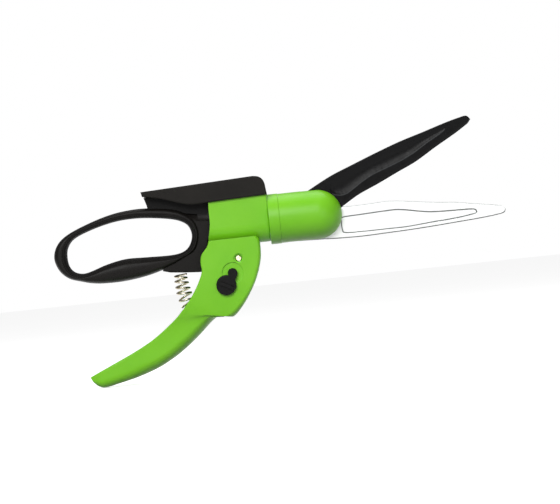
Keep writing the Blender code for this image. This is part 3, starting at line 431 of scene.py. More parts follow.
class Nodes:
    """A material's node tree, with the helpers that the finishes share."""

    def __init__(self, name, roughness, metallic=0.0, ior=1.47, specular=0.5, edge=0.0):
        self.material = bpy.data.materials.new(name)
        self.material.use_nodes = True
        self.tree = self.material.node_tree
        self.shader = self.tree.nodes["Principled BSDF"]
        values = {"Roughness": roughness, "Metallic": metallic, "IOR": ior, "Specular IOR Level": specular}
        for socket, value in values.items():
            self.shader.inputs[socket].default_value = value
        self.coords = self.add("ShaderNodeTexCoord")
        self.bevel = None
        if edge:
            self.bevel = self.add("ShaderNodeBevel")
            self.bevel.samples = 6
            self.bevel.inputs["Radius"].default_value = edge

    def add(self, kind, **values):
        node = self.tree.nodes.new(kind)
        for key, value in values.items():
            node.inputs[key].default_value = value
        return node

    def link(self, out, into):
        self.tree.links.new(out, into)

    def noise(self, scale, detail=3.0, roughness=0.55, stretch=None):
        source = self.coords.outputs["Object"]
        if stretch:
            mapping = self.add("ShaderNodeMapping", Scale=stretch)
            self.link(source, mapping.inputs["Vector"])
            source = mapping.outputs["Vector"]
        node = self.add("ShaderNodeTexNoise", Scale=scale, Detail=detail, Roughness=roughness)
        self.link(source, node.inputs["Vector"])
        return node.outputs["Fac"]

    def ramp(self, source, stops):
        node = self.add("ShaderNodeValToRGB")
        elements = node.color_ramp.elements
        while len(elements) < len(stops):
            elements.new(0.5)
        for element, (position, colour) in zip(elements, stops):
            element.position = position
            element.color = (*colour, 1.0)
        self.link(source, node.inputs["Fac"])
        return node.outputs["Color"]

    def span(self, source, low, high, start=0.3, end=0.7):
        ends = {"From Min": start, "From Max": end, "To Min": low, "To Max": high}
        node = self.add("ShaderNodeMapRange", **ends)
        self.link(source, node.inputs["Value"])
        return node.outputs["Result"]

    def mix(self, factor, first, second, kind="MIX"):
        """Blends two colours, each a tuple or a socket, by a number or a socket."""
        node = self.add("ShaderNodeMix")
        node.data_type = "RGBA"
        node.blend_type = kind
        if isinstance(factor, float):
            node.inputs["Factor"].default_value = factor
        else:
            self.link(factor, node.inputs["Factor"])
        for source, into in ((first, node.inputs[6]), (second, node.inputs[7])):
            if isinstance(source, tuple):
                into.default_value = (*source, 1.0)
            else:
                self.link(source, into)
        return node.outputs[2]

    def edge_wear_and_sheen(self):
        """1 along the piece's convex and concave edges, 0 on its faces: the mask of edges made paler by wear
        and a painted highlight.
        """
        geometry = self.add("ShaderNodeNewGeometry")
        dot = self.add("ShaderNodeVectorMath")
        dot.operation = "DOT_PRODUCT"
        self.link(self.bevel.outputs["Normal"], dot.inputs[0])
        self.link(geometry.outputs["Normal"], dot.inputs[1])
        return self.span(dot.outputs["Value"], 1.0, 0.0, 0.80, 0.99)

    def within(self, value, solid, fade):
        """1 where a value's size is under solid, falling to 0 at fade."""
        size = self.add("ShaderNodeMath")
        size.operation = "ABSOLUTE"
        self.link(value, size.inputs[0])
        return self.span(size.outputs["Value"], 1.0, 0.0, solid, fade)

    def web_shade_mask(self, half):
        """1 within half a web's thickness, in millimetres, of the piece's middle plane: the mask of the
        web's painted shade.
        """
        parts = self.add("ShaderNodeSeparateXYZ")
        self.link(self.coords.outputs["Object"], parts.inputs["Vector"])
        return self.within(parts.outputs["Y"], half * MM, (half + 0.5) * MM)

    def line(self, name, solid, fade):
        """1 where the points' stored distance, in millimetres, is under solid."""
        source = self.add("ShaderNodeAttribute")
        source.attribute_name = name
        return self.within(source.outputs["Fac"], solid, fade)

    def bump(self, *layers):
        normal = self.bevel.outputs["Normal"] if self.bevel else None
        for source, strength, distance in layers:
            node = self.add("ShaderNodeBump", Strength=strength, Distance=distance)
            self.link(source, node.inputs["Height"])
            if normal:
                self.link(normal, node.inputs["Normal"])
            normal = node.outputs["Normal"]
        if normal:
            self.link(normal, self.shader.inputs["Normal"])

    def colour(self, source):
        self.link(source, self.shader.inputs["Base Color"])

    def rough(self, source):
        self.link(source, self.shader.inputs["Roughness"])


def green_plastic():
    """Glossy moulded plastic with faint scuffs, paler along its edges from wear and a painted edge
    highlight.
    """
    n = Nodes("green_moulding", 0.36, ior=1.46, specular=0.42, edge=0.0004)
    tone = n.ramp(n.noise(26.0, 4.0), [(0.30, (0.182, 0.590, 0.010)), (0.70, (0.217, 0.640, 0.015))])
    marks = n.ramp(n.noise(420.0, 5.0, 0.7), [(0.30, (0.93, 0.94, 0.90)), (0.42, (1.0, 1.0, 1.0))])
    scuffed = n.mix(0.5, tone, marks, "MULTIPLY")
    # paler edges: wear and a painted edge highlight
    n.colour(n.mix(n.span(n.edge_wear_and_sheen(), 0.0, 0.30, 0.0, 1.0), scuffed, (0.36, 0.78, 0.10)))
    n.rough(n.span(n.noise(70.0, 4.0), 0.31, 0.43))
    n.bump((n.noise(1900.0, 3.0), 0.05, 0.0002), (n.noise(38.0, 2.0), 0.10, 0.0006))
    return n.material


def black_plastic(name, tone, roughness, grain, depth, edge=0.0005, web=0.0):
    """Grained black plastic, paler along its edges from wear and a painted edge highlight; a piece's thin
    web, where it has one, is painted near-black as the shade of its recess.
    """
    n = Nodes(name, roughness, ior=1.45, specular=0.14, edge=edge)
    dark = tuple(c * 0.82 for c in tone)
    light = tuple(c * 1.22 for c in tone)
    base = n.ramp(n.noise(34.0, 4.0), [(0.30, dark), (0.70, light)])
    if web:
        # painted shade: the thin web, recessed under the hood, is painted near-black
        base = n.mix(n.web_shade_mask(web), base, (0.0006, 0.0005, 0.0004))
    # paler edges: wear and a painted edge highlight
    n.colour(n.mix(n.span(n.edge_wear_and_sheen(), 0.0, 0.35, 0.0, 1.0), base, tuple(c * 2.4 + 0.003 for c in tone)))
    n.rough(n.span(n.noise(110.0, 4.0), roughness - 0.05, roughness + 0.06))
    n.bump((n.noise(grain, 2.0, 0.6), depth, 0.0002), (n.noise(45.0, 2.0), 0.06, 0.0005))
    return n.material


def coated_steel():
    """Black non-stick coating, with a painted highlight along the pressed line, and edges made paler by wear
    and a painted highlight.
    """
    n = Nodes("coated_blade", 0.30, ior=1.50, specular=0.11, edge=0.0003)
    base = n.ramp(n.noise(60.0, 4.0), [(0.3, (0.0022, 0.0022, 0.0024)), (0.7, (0.0034, 0.0034, 0.0037))])
    # painted highlight along the pressed line's lower edge
    panel_highlighted = n.mix(n.line("panel", 0.15, 0.60), base, (0.034, 0.036, 0.038))
    # paler edges: wear and a painted edge highlight
    n.colour(n.mix(n.span(n.edge_wear_and_sheen(), 0.0, 0.25, 0.0, 1.0), panel_highlighted, (0.014, 0.0145, 0.015)))
    n.rough(n.span(n.noise(240.0, 4.0), 0.30, 0.39))
    n.bump((n.noise(1500.0, 3.0), 0.05, 0.0002), (n.noise(55.0, 2.0), 0.03, 0.0004))
    return n.material


def bright_steel():
    """Satin plated steel, brushed across the blade, with painted shade in its pressed line and along its
    rims.
    """
    n = Nodes("bright_blade", 0.34, metallic=0.40, ior=1.6, edge=0.0002)
    streaks = n.noise(130.0, 4.0, 0.6, stretch=(14.0, 1.0, 1.0))
    base = n.ramp(streaks, [(0.30, (0.93, 0.945, 0.94)), (0.70, (0.985, 0.99, 0.985))])
    # painted shade in the pressed line's groove
    groove_shaded = n.mix(n.line("panel", 0.30, 0.65), base, (0.085, 0.095, 0.090))
    # painted shade along the back rim
    rim_shaded = n.mix(n.line("back", 0.55, 0.95), groove_shaded, (0.040, 0.045, 0.042))
    # painted shade along the cutting edge
    n.colour(n.mix(n.line("edge", 0.20, 0.75), rim_shaded, (0.40, 0.43, 0.42)))
    n.rough(n.span(streaks, 0.32, 0.40))
    n.bump((streaks, 0.02, 0.0001))
    return n.material


def plated_steel(name, low, high, roughness):
    """Zinc plating whose tone and gloss vary over the surface."""
    n = Nodes(name, roughness, metallic=1.0, edge=0.0002)
    n.colour(n.ramp(n.noise(160.0, 5.0), [(0.30, low), (0.70, high)]))
    n.rough(n.span(n.noise(500.0, 4.0), roughness - 0.06, roughness + 0.10))
    n.bump((n.noise(1400.0, 3.0), 0.05, 0.0001))
    return n.material


def pale_nylon():
    """Undyed nylon, slightly translucent."""
    n = Nodes("natural_nylon", 0.5, ior=1.5, edge=0.0003)
    n.shader.inputs["Subsurface Weight"].default_value = 0.12
    n.colour(n.ramp(n.noise(50.0, 4.0), [(0.30, (0.56, 0.54, 0.47)), (0.70, (0.67, 0.65, 0.58))]))
    n.rough(n.span(n.noise(200.0, 4.0), 0.42, 0.58))
    n.bump((n.noise(1600.0, 3.0), 0.05, 0.0002))
    return n.material


def floor_finish():
    """A pale, evenly lit floor."""
    n = Nodes("pale_floor", 0.9, specular=0.0)
    n.colour(n.ramp(n.noise(3.0, 2.0), [(0.30, (0.90, 0.90, 0.90)), (0.70, (0.92, 0.92, 0.92))]))
    n.shader.inputs["Emission Color"].default_value = (1.0, 1.0, 1.0, 1.0)
    n.shader.inputs["Emission Strength"].default_value = FLOOR_GLOW
    return n.material


# Handle


def loop_stations():
    return spline(LOOP_STATIONS, 6, closed=True)


def loop_share(station, depth):
    """A depth from the hole, as a share of the loop's radial width there."""
    return depth / math.hypot(station[2] - station[0], station[3] - station[1])


def loop_point(station, share):
    """The point (x, z) at a share of the loop's width, from its hole to its outside."""
    inner_x, inner_z, outer_x, outer_z = station[:4]
    return (inner_x + (outer_x - inner_x) * share, inner_z + (outer_z - inner_z) * share)


def loop_section(station, lower, upper, steps=14):
    """One section of the loop between two shares of its width, sunk in a groove at the liner's edge."""
    half = station[4]
    seam = loop_share(station, LINER_DEPTH)
    reach = loop_share(station, GROOVE_REACH)

    def point(share, y):
        x, z = loop_point(station, share)
        return (x, y, z)

    def height(share):
        sunk = GROOVE * max(0.0, 1 - abs(share - seam) / reach) ** 2
        return half * max(0.0, 1 - abs(2 * share - 1) ** LOOP_POWER) ** (1 / LOOP_POWER) - sunk

    eased = [0.5 - 0.5 * math.cos(math.pi * k / steps) for k in range(steps + 1)]
    shares = [lower + (upper - lower) * part for part in eased]
    top = [point(share, height(share)) for share in shares]
    bottom = [point(share, -height(share)) for share in reversed(shares)]
    return top + (bottom[1:] if height(upper) == 0.0 else bottom)


def make_handle_frame(material):
    stations = loop_stations()
    rings = [loop_section(station, loop_share(station, LINER_DEPTH), 1.0) for station in stations]
    made = mesh_object(skin(rings, looped=True))
    nose = arc(LEVER_PIVOT, HUB_RADIUS, -90, 100, 24)
    join(made, slab(PLATE_LOWER + nose + PLATE_UPPER, -PLATE_HALF, PLATE_HALF, edge=0.9))
    hub = arc(LEVER_PIVOT, HUB_RADIUS, -90, 90, 24) + [(-36.0, -19.5), (-36.0, -35.5)]
    join(made, slab(hub, -NECK_HALF, NECK_HALF, edge=0.5), neck_ledge())
    join(made, slab(WEB_OUTLINE, -WEB_HALF, WEB_HALF, edge=0.5))
    cut(made, block(-38.0, -10.0, -4.4, 4.4, -40.0, -15.0))
    cut(made, rod_y(LOCK_NOTCH, 2.9, -12.0, 12.0), rod_y(LEVER_PIVOT, PIN_BORE, -12.0, 12.0))
    for spot in BARREL_SCREWS[:2]:
        cut(made, rod_y(spot, 1.9, -12.0, 12.0))
    hole = [loop_point(station, loop_share(station, LINER_DEPTH)) for station in stations]
    cut(made, slab(hole, -20.0, 20.0))
    finish(made, "loop_frame", "handle", "handle_frame", material)


def neck_ledge():
    """The sloping shoulder between the thin web and the neck's cheeks."""
    half = LEDGE_HALF
    rings = []
    for x, top, low in LEDGE_SECTIONS:
        ring = [(-half, low), (-half + 0.5, low + 0.7), (-4.6, top), (4.6, top), (half - 0.5, low + 0.7)]
        ring += [(half, low), (half - 1.2, low - 1.2), (1.2 - half, low - 1.2)]
        rings.append([(x, y, z) for y, z in ring])
    return skin(rings)


def make_grip_liner(material):
    stations = loop_stations()
    rings = [loop_section(station, 0.0, loop_share(station, LINER_DEPTH)) for station in stations]
    made = mesh_object(skin(rings, looped=True))
    finish(made, "grip_lining", "handle", "grip_liner", material, 40.0)


def barrel_half(side, less, top):
    """Half of the barrel's section: a round belly, straight flank and flat top, drawn in by less."""
    radius = BARREL_HALF - less
    belly = arc((0.0, BARREL_ROUND_Z), radius, -90, 0, 24)
    shoulder = arc((radius - BARREL_SHOULDER, top - BARREL_SHOULDER), BARREL_SHOULDER, 0, 90, 6)
    made = [(max(y, GAP / 2), z) for y, z in belly + shoulder] + [(GAP / 2, top)]
    return [(side * y, z) for y, z in made]


def make_barrel_shell(side, name, node, material):
    outer = [(x, barrel_half(side, less, BARREL_TOP - less)) for x, less in
             ((-50.0, 0.0), (-1.1, 0.0), (-0.55, 0.06), (-0.15, 0.24), (BARREL_FRONT, 0.5))]
    made = mesh_object(skin([[(x, y, z) for y, z in ring] for x, ring in outer]))
    inner = barrel_half(side, BARREL_WALL, BARREL_TOP - BARREL_WALL)
    inner = [(side * -0.5 if abs(y) < 0.2 else y, z) for y, z in inner]
    cut(made, skin([[(x, y, z) for y, z in inner] for x in (-52.0, 2.0)]))
    for x0, x1 in ((-2.0, -0.6), (-12.3, -9.6)):
        wall = barrel_half(side, BARREL_WALL - 0.6, BARREL_TOP - BARREL_WALL + 0.6)
        bore = [(side * max(r, GAP / 2), z) for r, z in arc((0.0, 0.0), ROD_GUIDE, 90, -90, 24)]
        join(made, skin([[(x, y, z) for y, z in wall + bore] for x in (x0, x1)]))
    join(made, block(-36.8, -16.4, side * 6.1, side * 13.2, -1.6, 1.6))
    join(made, block(-37.0, -29.0, side * 9.4, side * 12.7, BARREL_TOP - 1.0, 28.6))
    for spot in BARREL_SCREWS[:2]:
        join(made, rod_y(spot, 3.3, side * (NECK_HALF + GAP), side * 13.5))
    join(made, rod_y(BARREL_SCREWS[2], 3.0, side * 0.25, side * 13.5))
    rear = spline(BARREL_REAR, 4) + [(-60.0, -20.0), (-60.0, 30.0), (-45.3, 30.0)]
    cut(made, slab(rear, -20.0, 20.0), block(-33.4, -19.2, -4.7, 4.7, -20.0, -8.0))
    cut(made, block(-7.2, -2.2, -3.4, 3.4, 14.0, 24.0))
    for x, z in BARREL_SCREWS:
        cut(made, screw_hole(x, z, -12.0, 12.9))
    cut(made, rod_y(RELEASE_PIVOT, 1.8, -20.0, 20.0, 25))
    finish(made, name, "handle", node, material)


def make_pin(material):
    near, far = -17.3, 18.2
    profile = [(near + 0.35, 0.0), (near, 0.8), (near, 1.5)]
    profile += [(near + 0.8 * (1 - math.cos(a)), 1.5 + 0.8 * math.sin(a)) for a in (0.4, 0.8, 1.2, 1.57)]
    profile += [(16.4, 2.3), (16.4, 1.6), (17.5, 1.6), (17.5, 2.3), (far - 0.4, 2.3), (far, 1.8), (far, 0.0)]
    made = mesh_object(turned_y(LEVER_PIVOT, profile, 48))
    finish(made, "pivot_pin", "handle", "lever_pin", material, 35.0)


def make_return_spring(material):
    axis = spline(SPRING_AXIS, 10)
    length = sum((Vector(b) - Vector(a)).length for a, b in zip(axis, axis[1:]))
    steps = int(SPRING_TURNS * 30)
    rings = []
    for k in range(steps + 1):
        share = k / steps
        spot = share * (len(axis) - 1)
        low = min(int(spot), len(axis) - 2)
        centre = Vector(axis[low]).lerp(Vector(axis[low + 1]), spot - low)
        along = (Vector(axis[low + 1]) - Vector(axis[low])).normalized()
        across = Vector((-along.y, along.x))
        radius = SPRING_RADII[0] + (SPRING_RADII[1] - SPRING_RADII[0]) * share
        angle = 2 * math.pi * SPRING_TURNS * share
        pitch = length / SPRING_TURNS / (2 * math.pi * radius)
        ring = []
        for j in range(WIRE_SIDES):
            bend = 2 * math.pi * j / WIRE_SIDES
            reach = radius + SPRING_WIRE * math.cos(bend)
            lift = SPRING_WIRE * math.sin(bend)
            side = reach * math.cos(angle) + lift * pitch * math.sin(angle)
            flat = centre + across * side + along * lift
            ring.append((flat.x, reach * math.sin(angle) - lift * pitch * math.cos(angle), flat.y))
        rings.append(ring)
    made = mesh_object(skin(rings))
    finish(made, "coil_spring", "handle", "return_spring", material, 50.0)
    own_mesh(made)


# Lever


def lever_corner(half, depth):
    """The radius between cheek and front: small beside the pivot and full along the tail."""
    tail = min(1.0, max(0.0, (TAIL_START_HALF - half) / (TAIL_START_HALF - TAIL_FULL_HALF)))
    corner = LEVER_CORNER + (TAIL_CORNER - LEVER_CORNER) * tail
    return min(corner, depth * 0.45, half * 0.85)


def lever_ring(station):
    """The lever's outside at one station, from its inner edges round its rounded front."""
    inner, outer, half = Vector(station[:2]), Vector(station[2:4]), station[4]
    depth = (outer - inner).length
    corner = lever_corner(half, depth)
    side = [(0.0, half - 0.9), (0.3, half - 0.3), (0.9, half), (depth * 0.3, half), (depth * 0.5, half)]
    side.append((depth - corner, half))
    for k in range(1, 11):
        angle = math.radians(90 * k / 10)
        side.append((depth - corner + corner * math.sin(angle), half - corner + corner * math.cos(angle)))
    shape = side + [(u, -y) for u, y in reversed(side)]
    spots = [(inner.lerp(outer, u / depth), y) for u, y in shape]
    return [(spot.x, y, spot.y) for spot, y in spots]


def lever_hollow(stations):
    """The channel inside the lever, open towards the loop."""
    rings = []
    for i in range(len(stations) - 3):
        inner, outer, half = Vector(stations[i][:2]), Vector(stations[i][2:4]), stations[i][4]
        along = Vector(stations[i + 1][2:4]) - Vector(stations[max(i - 1, 0)][2:4])
        floor = outer + Vector((along.y, -along.x)).normalized() * LEVER_WALL
        mouth = inner + (inner - outer).normalized() * 3.0
        depth = (floor - mouth).length
        width = half - LEVER_WALL
        slope = lever_corner(half, (outer - inner).length) * 0.6
        shape = [(0.0, width), (depth - slope, width), (depth, width - slope)]
        shape += [(u, -y) for u, y in reversed(shape)]
        spots = [(mouth.lerp(floor, u / depth), y) for u, y in shape]
        rings.append([(spot.x, y, spot.y) for spot, y in spots])
    top = [(x, y, z + 4.0) for x, y, z in rings[0]]
    return skin([top] + rings)


def make_squeeze_lever(material):
    made = mesh_object(skin([lever_ring(station) for station in spline(LEVER_STATIONS, 4)]))
    cut(made, lever_hollow(LEVER_STATIONS))
    cut(made, block(-60.0, 0.0, -(BARREL_HALF + 0.4), BARREL_HALF + 0.4, -17.7, 0.0))
    join(made, rod_y(LEVER_PIVOT, 6.6, -4.0, 4.0, 48))
    join(made, slab(LEVER_RIB, -4.0, 4.0))
    toward = (Vector(FINGER_TIP) - Vector(LEVER_PIVOT)).normalized()
    across = Vector((-toward.y, toward.x))
    root, tip = Vector(LEVER_PIVOT) + toward * 5.0, Vector(FINGER_TIP)
    finger = [root + across * 3.0, root - across * 3.0, tip - across * 1.7, tip + across * 1.7]
    join(made, slab([(p.x, p.y) for p in finger], -FINGER_HALF, FINGER_HALF))
    join(made, rod_y(FINGER_TIP, FINGER_RADIUS, -FINGER_HALF, FINGER_HALF, 37))
    for side in (-1, 1):
        join(made, rod_y(LEVER_PIVOT, 5.0, side * (NECK_HALF + 0.4), side * 16.0, 41))
    for low, high in ((10, 11), (14, 15), (17, 18)):
        join(made, cross_rib(LEVER_STATIONS[low], LEVER_STATIONS[high]))
    join(made, spring_shelf(LEVER_STATIONS))
    cut(made, rod_y(LEVER_PIVOT, PIN_BORE, -22.0, 22.0, 47))
    cut(made, rod_y(LEVER_PIVOT, 3.7, -22.0, -17.1, 47), rod_y(LEVER_PIVOT, 5.4, 16.5, 22.0, 47))
    cut(made, rod_y(LOCK_PIVOT, 8.3, -22.0, -17.6, 63), rod_y(LOCK_PIVOT, 3.3, -22.0, -14.0, 37))
    finish(made, "lever_moulding", "lever", "squeeze_lever", material)


def cross_rib(station, following):
    """A stiffening wall across the channel, with shoulders that follow the rounded front."""
    inner, outer = Vector(station[:2]), Vector(station[2:4])
    thickness = (Vector(following[:2]) - inner).normalized() * RIB_THICKNESS
    half = station[4] - 1.6
    slope = lever_corner(station[4], (outer - inner).length) * 0.75
    top = inner.lerp(outer, 0.12)
    bottom = inner.lerp(outer, 0.94)
    shoulder = top.lerp(bottom, 1.0 - slope / (bottom - top).length)
    outline = [(-half, top), (half, top), (half, shoulder)]
    outline += [(half - slope, bottom), (slope - half, bottom), (-half, shoulder)]
    rings = []
    for move in (Vector((0.0, 0.0)), thickness):
        rings.append([(spot.x + move.x, y, spot.y + move.y) for y, spot in outline])
    return skin(rings)


def spring_shelf(stations):
    """The seat of the return spring, level with the channel's inner edge."""
    first, last = Vector(stations[7][:2]), Vector(stations[8][:2])
    along = (last - first).normalized()
    depth = Vector((-along.y, along.x))
    start = first - along * 1.0
    end = last + along * 5.0
    drop = depth * 7.6
    points = [start + depth * 5.2, end + depth * 5.2, end + drop, start + drop]
    return slab([tuple(p) for p in points], -14.2, 14.2)


def make_lock_knob(material):
    outline = arc(KNOB_CENTRE, 7.8, 74, 380, 60) + arc(LOCK_PIVOT, 3.8, -35, 198, 36)
    made = mesh_object(slab(outline, *KNOB_FACES, edge=0.9, steps=6))
    join(made, rod_y(LOCK_PIVOT, 3.0, -19.5, -14.6, 39))
    join(made, slab(rounded(KNOB_RIDGE, 0.9), -21.0, -23.0, edge=0.8))
    cut(made, rod_y(LOCK_PIVOT, 1.9, -18.0, -12.0, 31))
    finish(made, "catch_knob", "lock", "lock_knob", material)


# Head


def head_bosses(side):
    """The screw and pivot bosses of one half, trimmed to stay inside its wall."""
    radius = 4.3 if side > 0 else 3.0
    solids = [rod_y((x, z), radius, side * 0.25, side * 18.0, 37) for x, z in HEAD_SCREWS]
    if side > 0:
        solids += [rod_y((x, z), 4.3, 2.4, 18.0, 37) for x, z in TANG_SCREWS]
    solids.append(rod_y(BLADE_PIVOT, 5.0, side * 18.5, side * (8.6 if side > 0 else 5.9), 43))
    made = mesh_object(solids[0])
    join(made, *solids[1:])
    within = HEAD_RADIUS - 0.7
    limit = [(2.9, 0.0), (2.9, 15.9), (COLLAR_END + 0.65, 15.9), (COLLAR_END + 0.65, within)]
    limit.append((DOME_X, within))
    limit += [(x, max(r, 0.0)) for x, r in arc((DOME_X, 0.0), within, 75, 0, 12)]
    combine(made, turned_x(limit, 59, start=4.0), "INTERSECT")
    bm = bmesh.new()
    bm.from_mesh(made.data)
    bpy.data.objects.remove(made, do_unlink=True)
    return bm


def make_head_shell(side, name, node, material):
    inner = HEAD_RADIUS - HEAD_WALL
    front = COLLAR_END + 0.3
    profile = [(0.6, 10.4), (0.6, 16.5), (front, 16.7), (front, HEAD_RADIUS - 0.1)]
    profile += [(front + 0.1, HEAD_RADIUS)]
    profile += [(22.0, HEAD_RADIUS + 0.1), (DOME_X, HEAD_RADIUS)]
    profile += [(x, max(r, 0.0)) for x, r in arc((DOME_X, 0.0), HEAD_RADIUS, 86, 0, 22)]
    profile += [(x, max(r, 0.0)) for x, r in arc((DOME_X, 0.0), inner, 0, 90, 14)]
    profile += [(10.4, inner), (8.8, 14.8), (8.8, 9.2), (6.5, 9.2), (6.5, 14.3), (2.2, 14.3), (2.2, 10.4)]
    start = -90.0 if side > 0 else 90.0
    made = mesh_object(turned_x(profile, 48, start, 180.0, side * GAP / 2))
    join(made, head_bosses(side))
    cut(made, slab(HEAD_OPENING, -SLOT_HALF, SLOT_HALF))
    for x, z in HEAD_SCREWS:
        cut(made, screw_hole(x, z, -10.8, 9.4))
    if side > 0:
        for x, z in TANG_SCREWS:
            cut(made, screw_hole(x, z, 0.0, 9.4))
    finish(made, name, "head", node, material)


def make_collar(material):
    inner, outer = 17.15, COLLAR_RADIUS
    start, rim, end = 0.18, 0.25, COLLAR_END + 0.22
    profile = [(start, inner), (start, outer - rim)] + arc((start + rim, outer - rim), rim, 165, 90, 5)
    profile += arc((end - rim, outer - rim), rim, 90, 0, 6) + [(end, inner)]
    made = mesh_object(turned_x(profile, 96))
    finish(made, "collar_ring", "head", "swivel_collar", material)


# Blades


def blade_points(edge, back, count):
    """Matched points along the cutting edge and the back, from root to tip."""
    def walk(points):
        curve = [Vector(p) for p in spline(points, 10)]
        lengths = [0.0]
        for a, b in zip(curve, curve[1:]):
            lengths.append(lengths[-1] + (b - a).length)
        made = []
        k = 0
        for i in range(count + 1):
            want = lengths[-1] * i / count
            while k < len(curve) - 2 and lengths[k + 1] < want:
                k += 1
            share = (want - lengths[k]) / max(lengths[k + 1] - lengths[k], 1e-9)
            made.append(curve[k].lerp(curve[k + 1], min(1.0, max(0.0, share))))
        return made
    return list(zip(walk(edge), walk(back)))


def smooth_step(value, low, high):
    t = max(0.0, min(1.0, (value - low) / (high - low)))
    return t * t * (3 - 2 * t)


def panel_span(a, b, panel):
    """The shares of a line from edge to back between which it crosses the panel, or None."""
    inside = [k / 60 for k in range(61) if distance_to(panel, *a.lerp(b, k / 60)) > 0]
    return (inside[0], inside[-1]) if len(inside) > 2 else None


def blade_solid(edge, back, near, far, panel, dish, bevel, across, count, lower_only=False):
    """A pressed blade, with its bevel ground on the near face and its panel sunk in it.

    Its points carry their distances from the panel's outline, the back and the edge, for the
    finish. With lower_only the outline counts only on the side of the edge.
    """
    pairs = blade_points(edge, back, count)
    curve = spline(panel, 5, closed=True)
    bm = bmesh.new()
    layers = [bm.verts.layers.float.new(name) for name in ("panel", "back", "edge")]
    rows_near, rows_far = [], []
    for a, b in pairs:
        width = (b - a).length
        crossed = panel_span(a, b, curve)
        near_row, far_row = [], []
        for j in range(across + 1):
            t = 0.5 - 0.5 * math.cos(math.pi * j / across)
            p = a.lerp(b, t)
            from_edge, from_back = width * t, width * (1 - t)
            inside = distance_to(curve, p.x, p.y)
            y = near + dish(inside, t, crossed, width)
            y += (far - near) * bevel * (1 - smooth_step(from_edge, 0.0, BEVEL_WIDTH))
            y += (far - near) * 0.3 * max(0.0, 1 - from_back / 0.7) ** 2
            unlined = lower_only and (crossed is None or t > 0.5 * sum(crossed))
            sides = ((near_row, y, UNMARKED if unlined else inside), (far_row, far, UNMARKED))
            for row, depth, line in sides:
                vert = bm.verts.new(place(p.x, depth, p.y))
                for layer, gap in zip(layers, (line, from_back, from_edge)):
                    vert[layer] = gap
                row.append(vert)
        rows_near.append(near_row)
        rows_far.append(far_row)
    for rows in (rows_near, rows_far):
        for low, high in zip(rows, rows[1:]):
            for j in range(across):
                bm.faces.new((low[j], low[j + 1], high[j + 1], high[j]))
    for loop in zip(around(rows_near), around(rows_far), around(rows_near, 1), around(rows_far, 1)):
        bm.faces.new((loop[0], loop[2], loop[3], loop[1]))
    bmesh.ops.remove_doubles(bm, verts=bm.verts, dist=1e-6)
    bmesh.ops.recalc_face_normals(bm, faces=bm.faces)
    return mesh_object(bm)


def around(rows, shift=0):
    """The points round a grid's border, starting shift points along."""
    border = [row[0] for row in rows] + rows[-1][1:] + [row[-1] for row in reversed(rows)][1:]
    border += rows[0][::-1][1:-1]
    return border[shift:] + border[:shift]


def make_moving_blade(material):
    def dish(inside, t, crossed, width):
        """A bowl across the panel, fading out where the panel narrows."""
        if crossed is None or inside <= 0:
            return 0.0
        low, high = crossed
        share = (t - low) / (high - low)
        bowl = 1 - (2 * min(1.0, max(0.0, share)) - 1) ** 2
        return PANEL_BOWL * bowl * smooth_step((high - low) * width, 0.0, 10.0)
    edge = [(46.0, -2.4)] + MOVING_EDGE[::-1]
    made = blade_solid(edge, MOVING_BACK, -BLADE_OUTER, -BLADE_INNER, MOVING_PANEL, dish,
                       bevel=0.8, across=56, count=220, lower_only=True)
    tang = [(34.6, 20.1)] + MOVING_TANG[::-1] + [(47.2, -1.9)]
    join(made, slab(tang, -BLADE_OUTER + 0.02, -BLADE_INNER - 0.02))
    cut(made, rod_y(BLADE_PIVOT, BLADE_BORE, -4.0, 4.0, 41), rod_y(CRANK_PIN, 1.8, -4.0, 4.0, 31))
    finish(made, "upper_blade", "blade", "moving_blade", material, 40.0)


def make_fixed_blade(material):
    def dish(inside, t, crossed, width):
        """A flat panel with soft sides."""
        return PANEL_STEP * smooth_step(inside, -0.5, 0.5)
    edge = [(42.0, 7.9), (50.0, 5.8)] + FIXED_EDGE
    made = blade_solid(edge, FIXED_BACK[::-1], BLADE_INNER, BLADE_OUTER, FIXED_PANEL, dish,
                       bevel=0.12, across=64, count=300)
    join(made, slab(FIXED_TANG, BLADE_INNER + 0.02, BLADE_OUTER - 0.02))
    cut(made, rod_y(BLADE_PIVOT, BLADE_BORE, -4.0, 4.0, 41))
    for spot in TANG_SCREWS:
        cut(made, rod_y(spot, SCREW_CORE, -4.0, 4.0, 31))
    finish(made, "lower_blade", "head", "fixed_blade", material, 40.0)


# Hood


def make_hood(material):
    corner = spline(HOOD_OUTLINE[1:6], 5)
    lower = spline(HOOD_OUTLINE[7:13], 5)
    outline = [HOOD_OUTLINE[0]] + corner + [HOOD_OUTLINE[6]] + lower + [HOOD_OUTLINE[13]]
    made = mesh_object(slab(outline, -HOOD_HALF, HOOD_HALF, edge=1.0, steps=5))
    cut(made, slab(HOOD_CAVITY, -HOOD_INNER, HOOD_INNER))
    x, z = RELEASE_PIVOT
    for side in (-1, 1):
        ear = [(x - 5.0, z + 7.0), (x - 3.6, z - 1.0)] + arc((x, z), 3.2, 200, 340, 16)
        ear += [(x + 3.6, z - 1.0), (x + 5.0, z + 7.0)]
        join(made, slab(ear, side * 6.0, side * 9.0))
    join(made, slab(HOOD_TOOTH, -2.6, 2.6))
    cut(made, rod_y(RELEASE_PIVOT, 1.8, -12.0, 12.0, 25))
    finish(made, "release_hood", "release", "release_lever", material)


# Studio

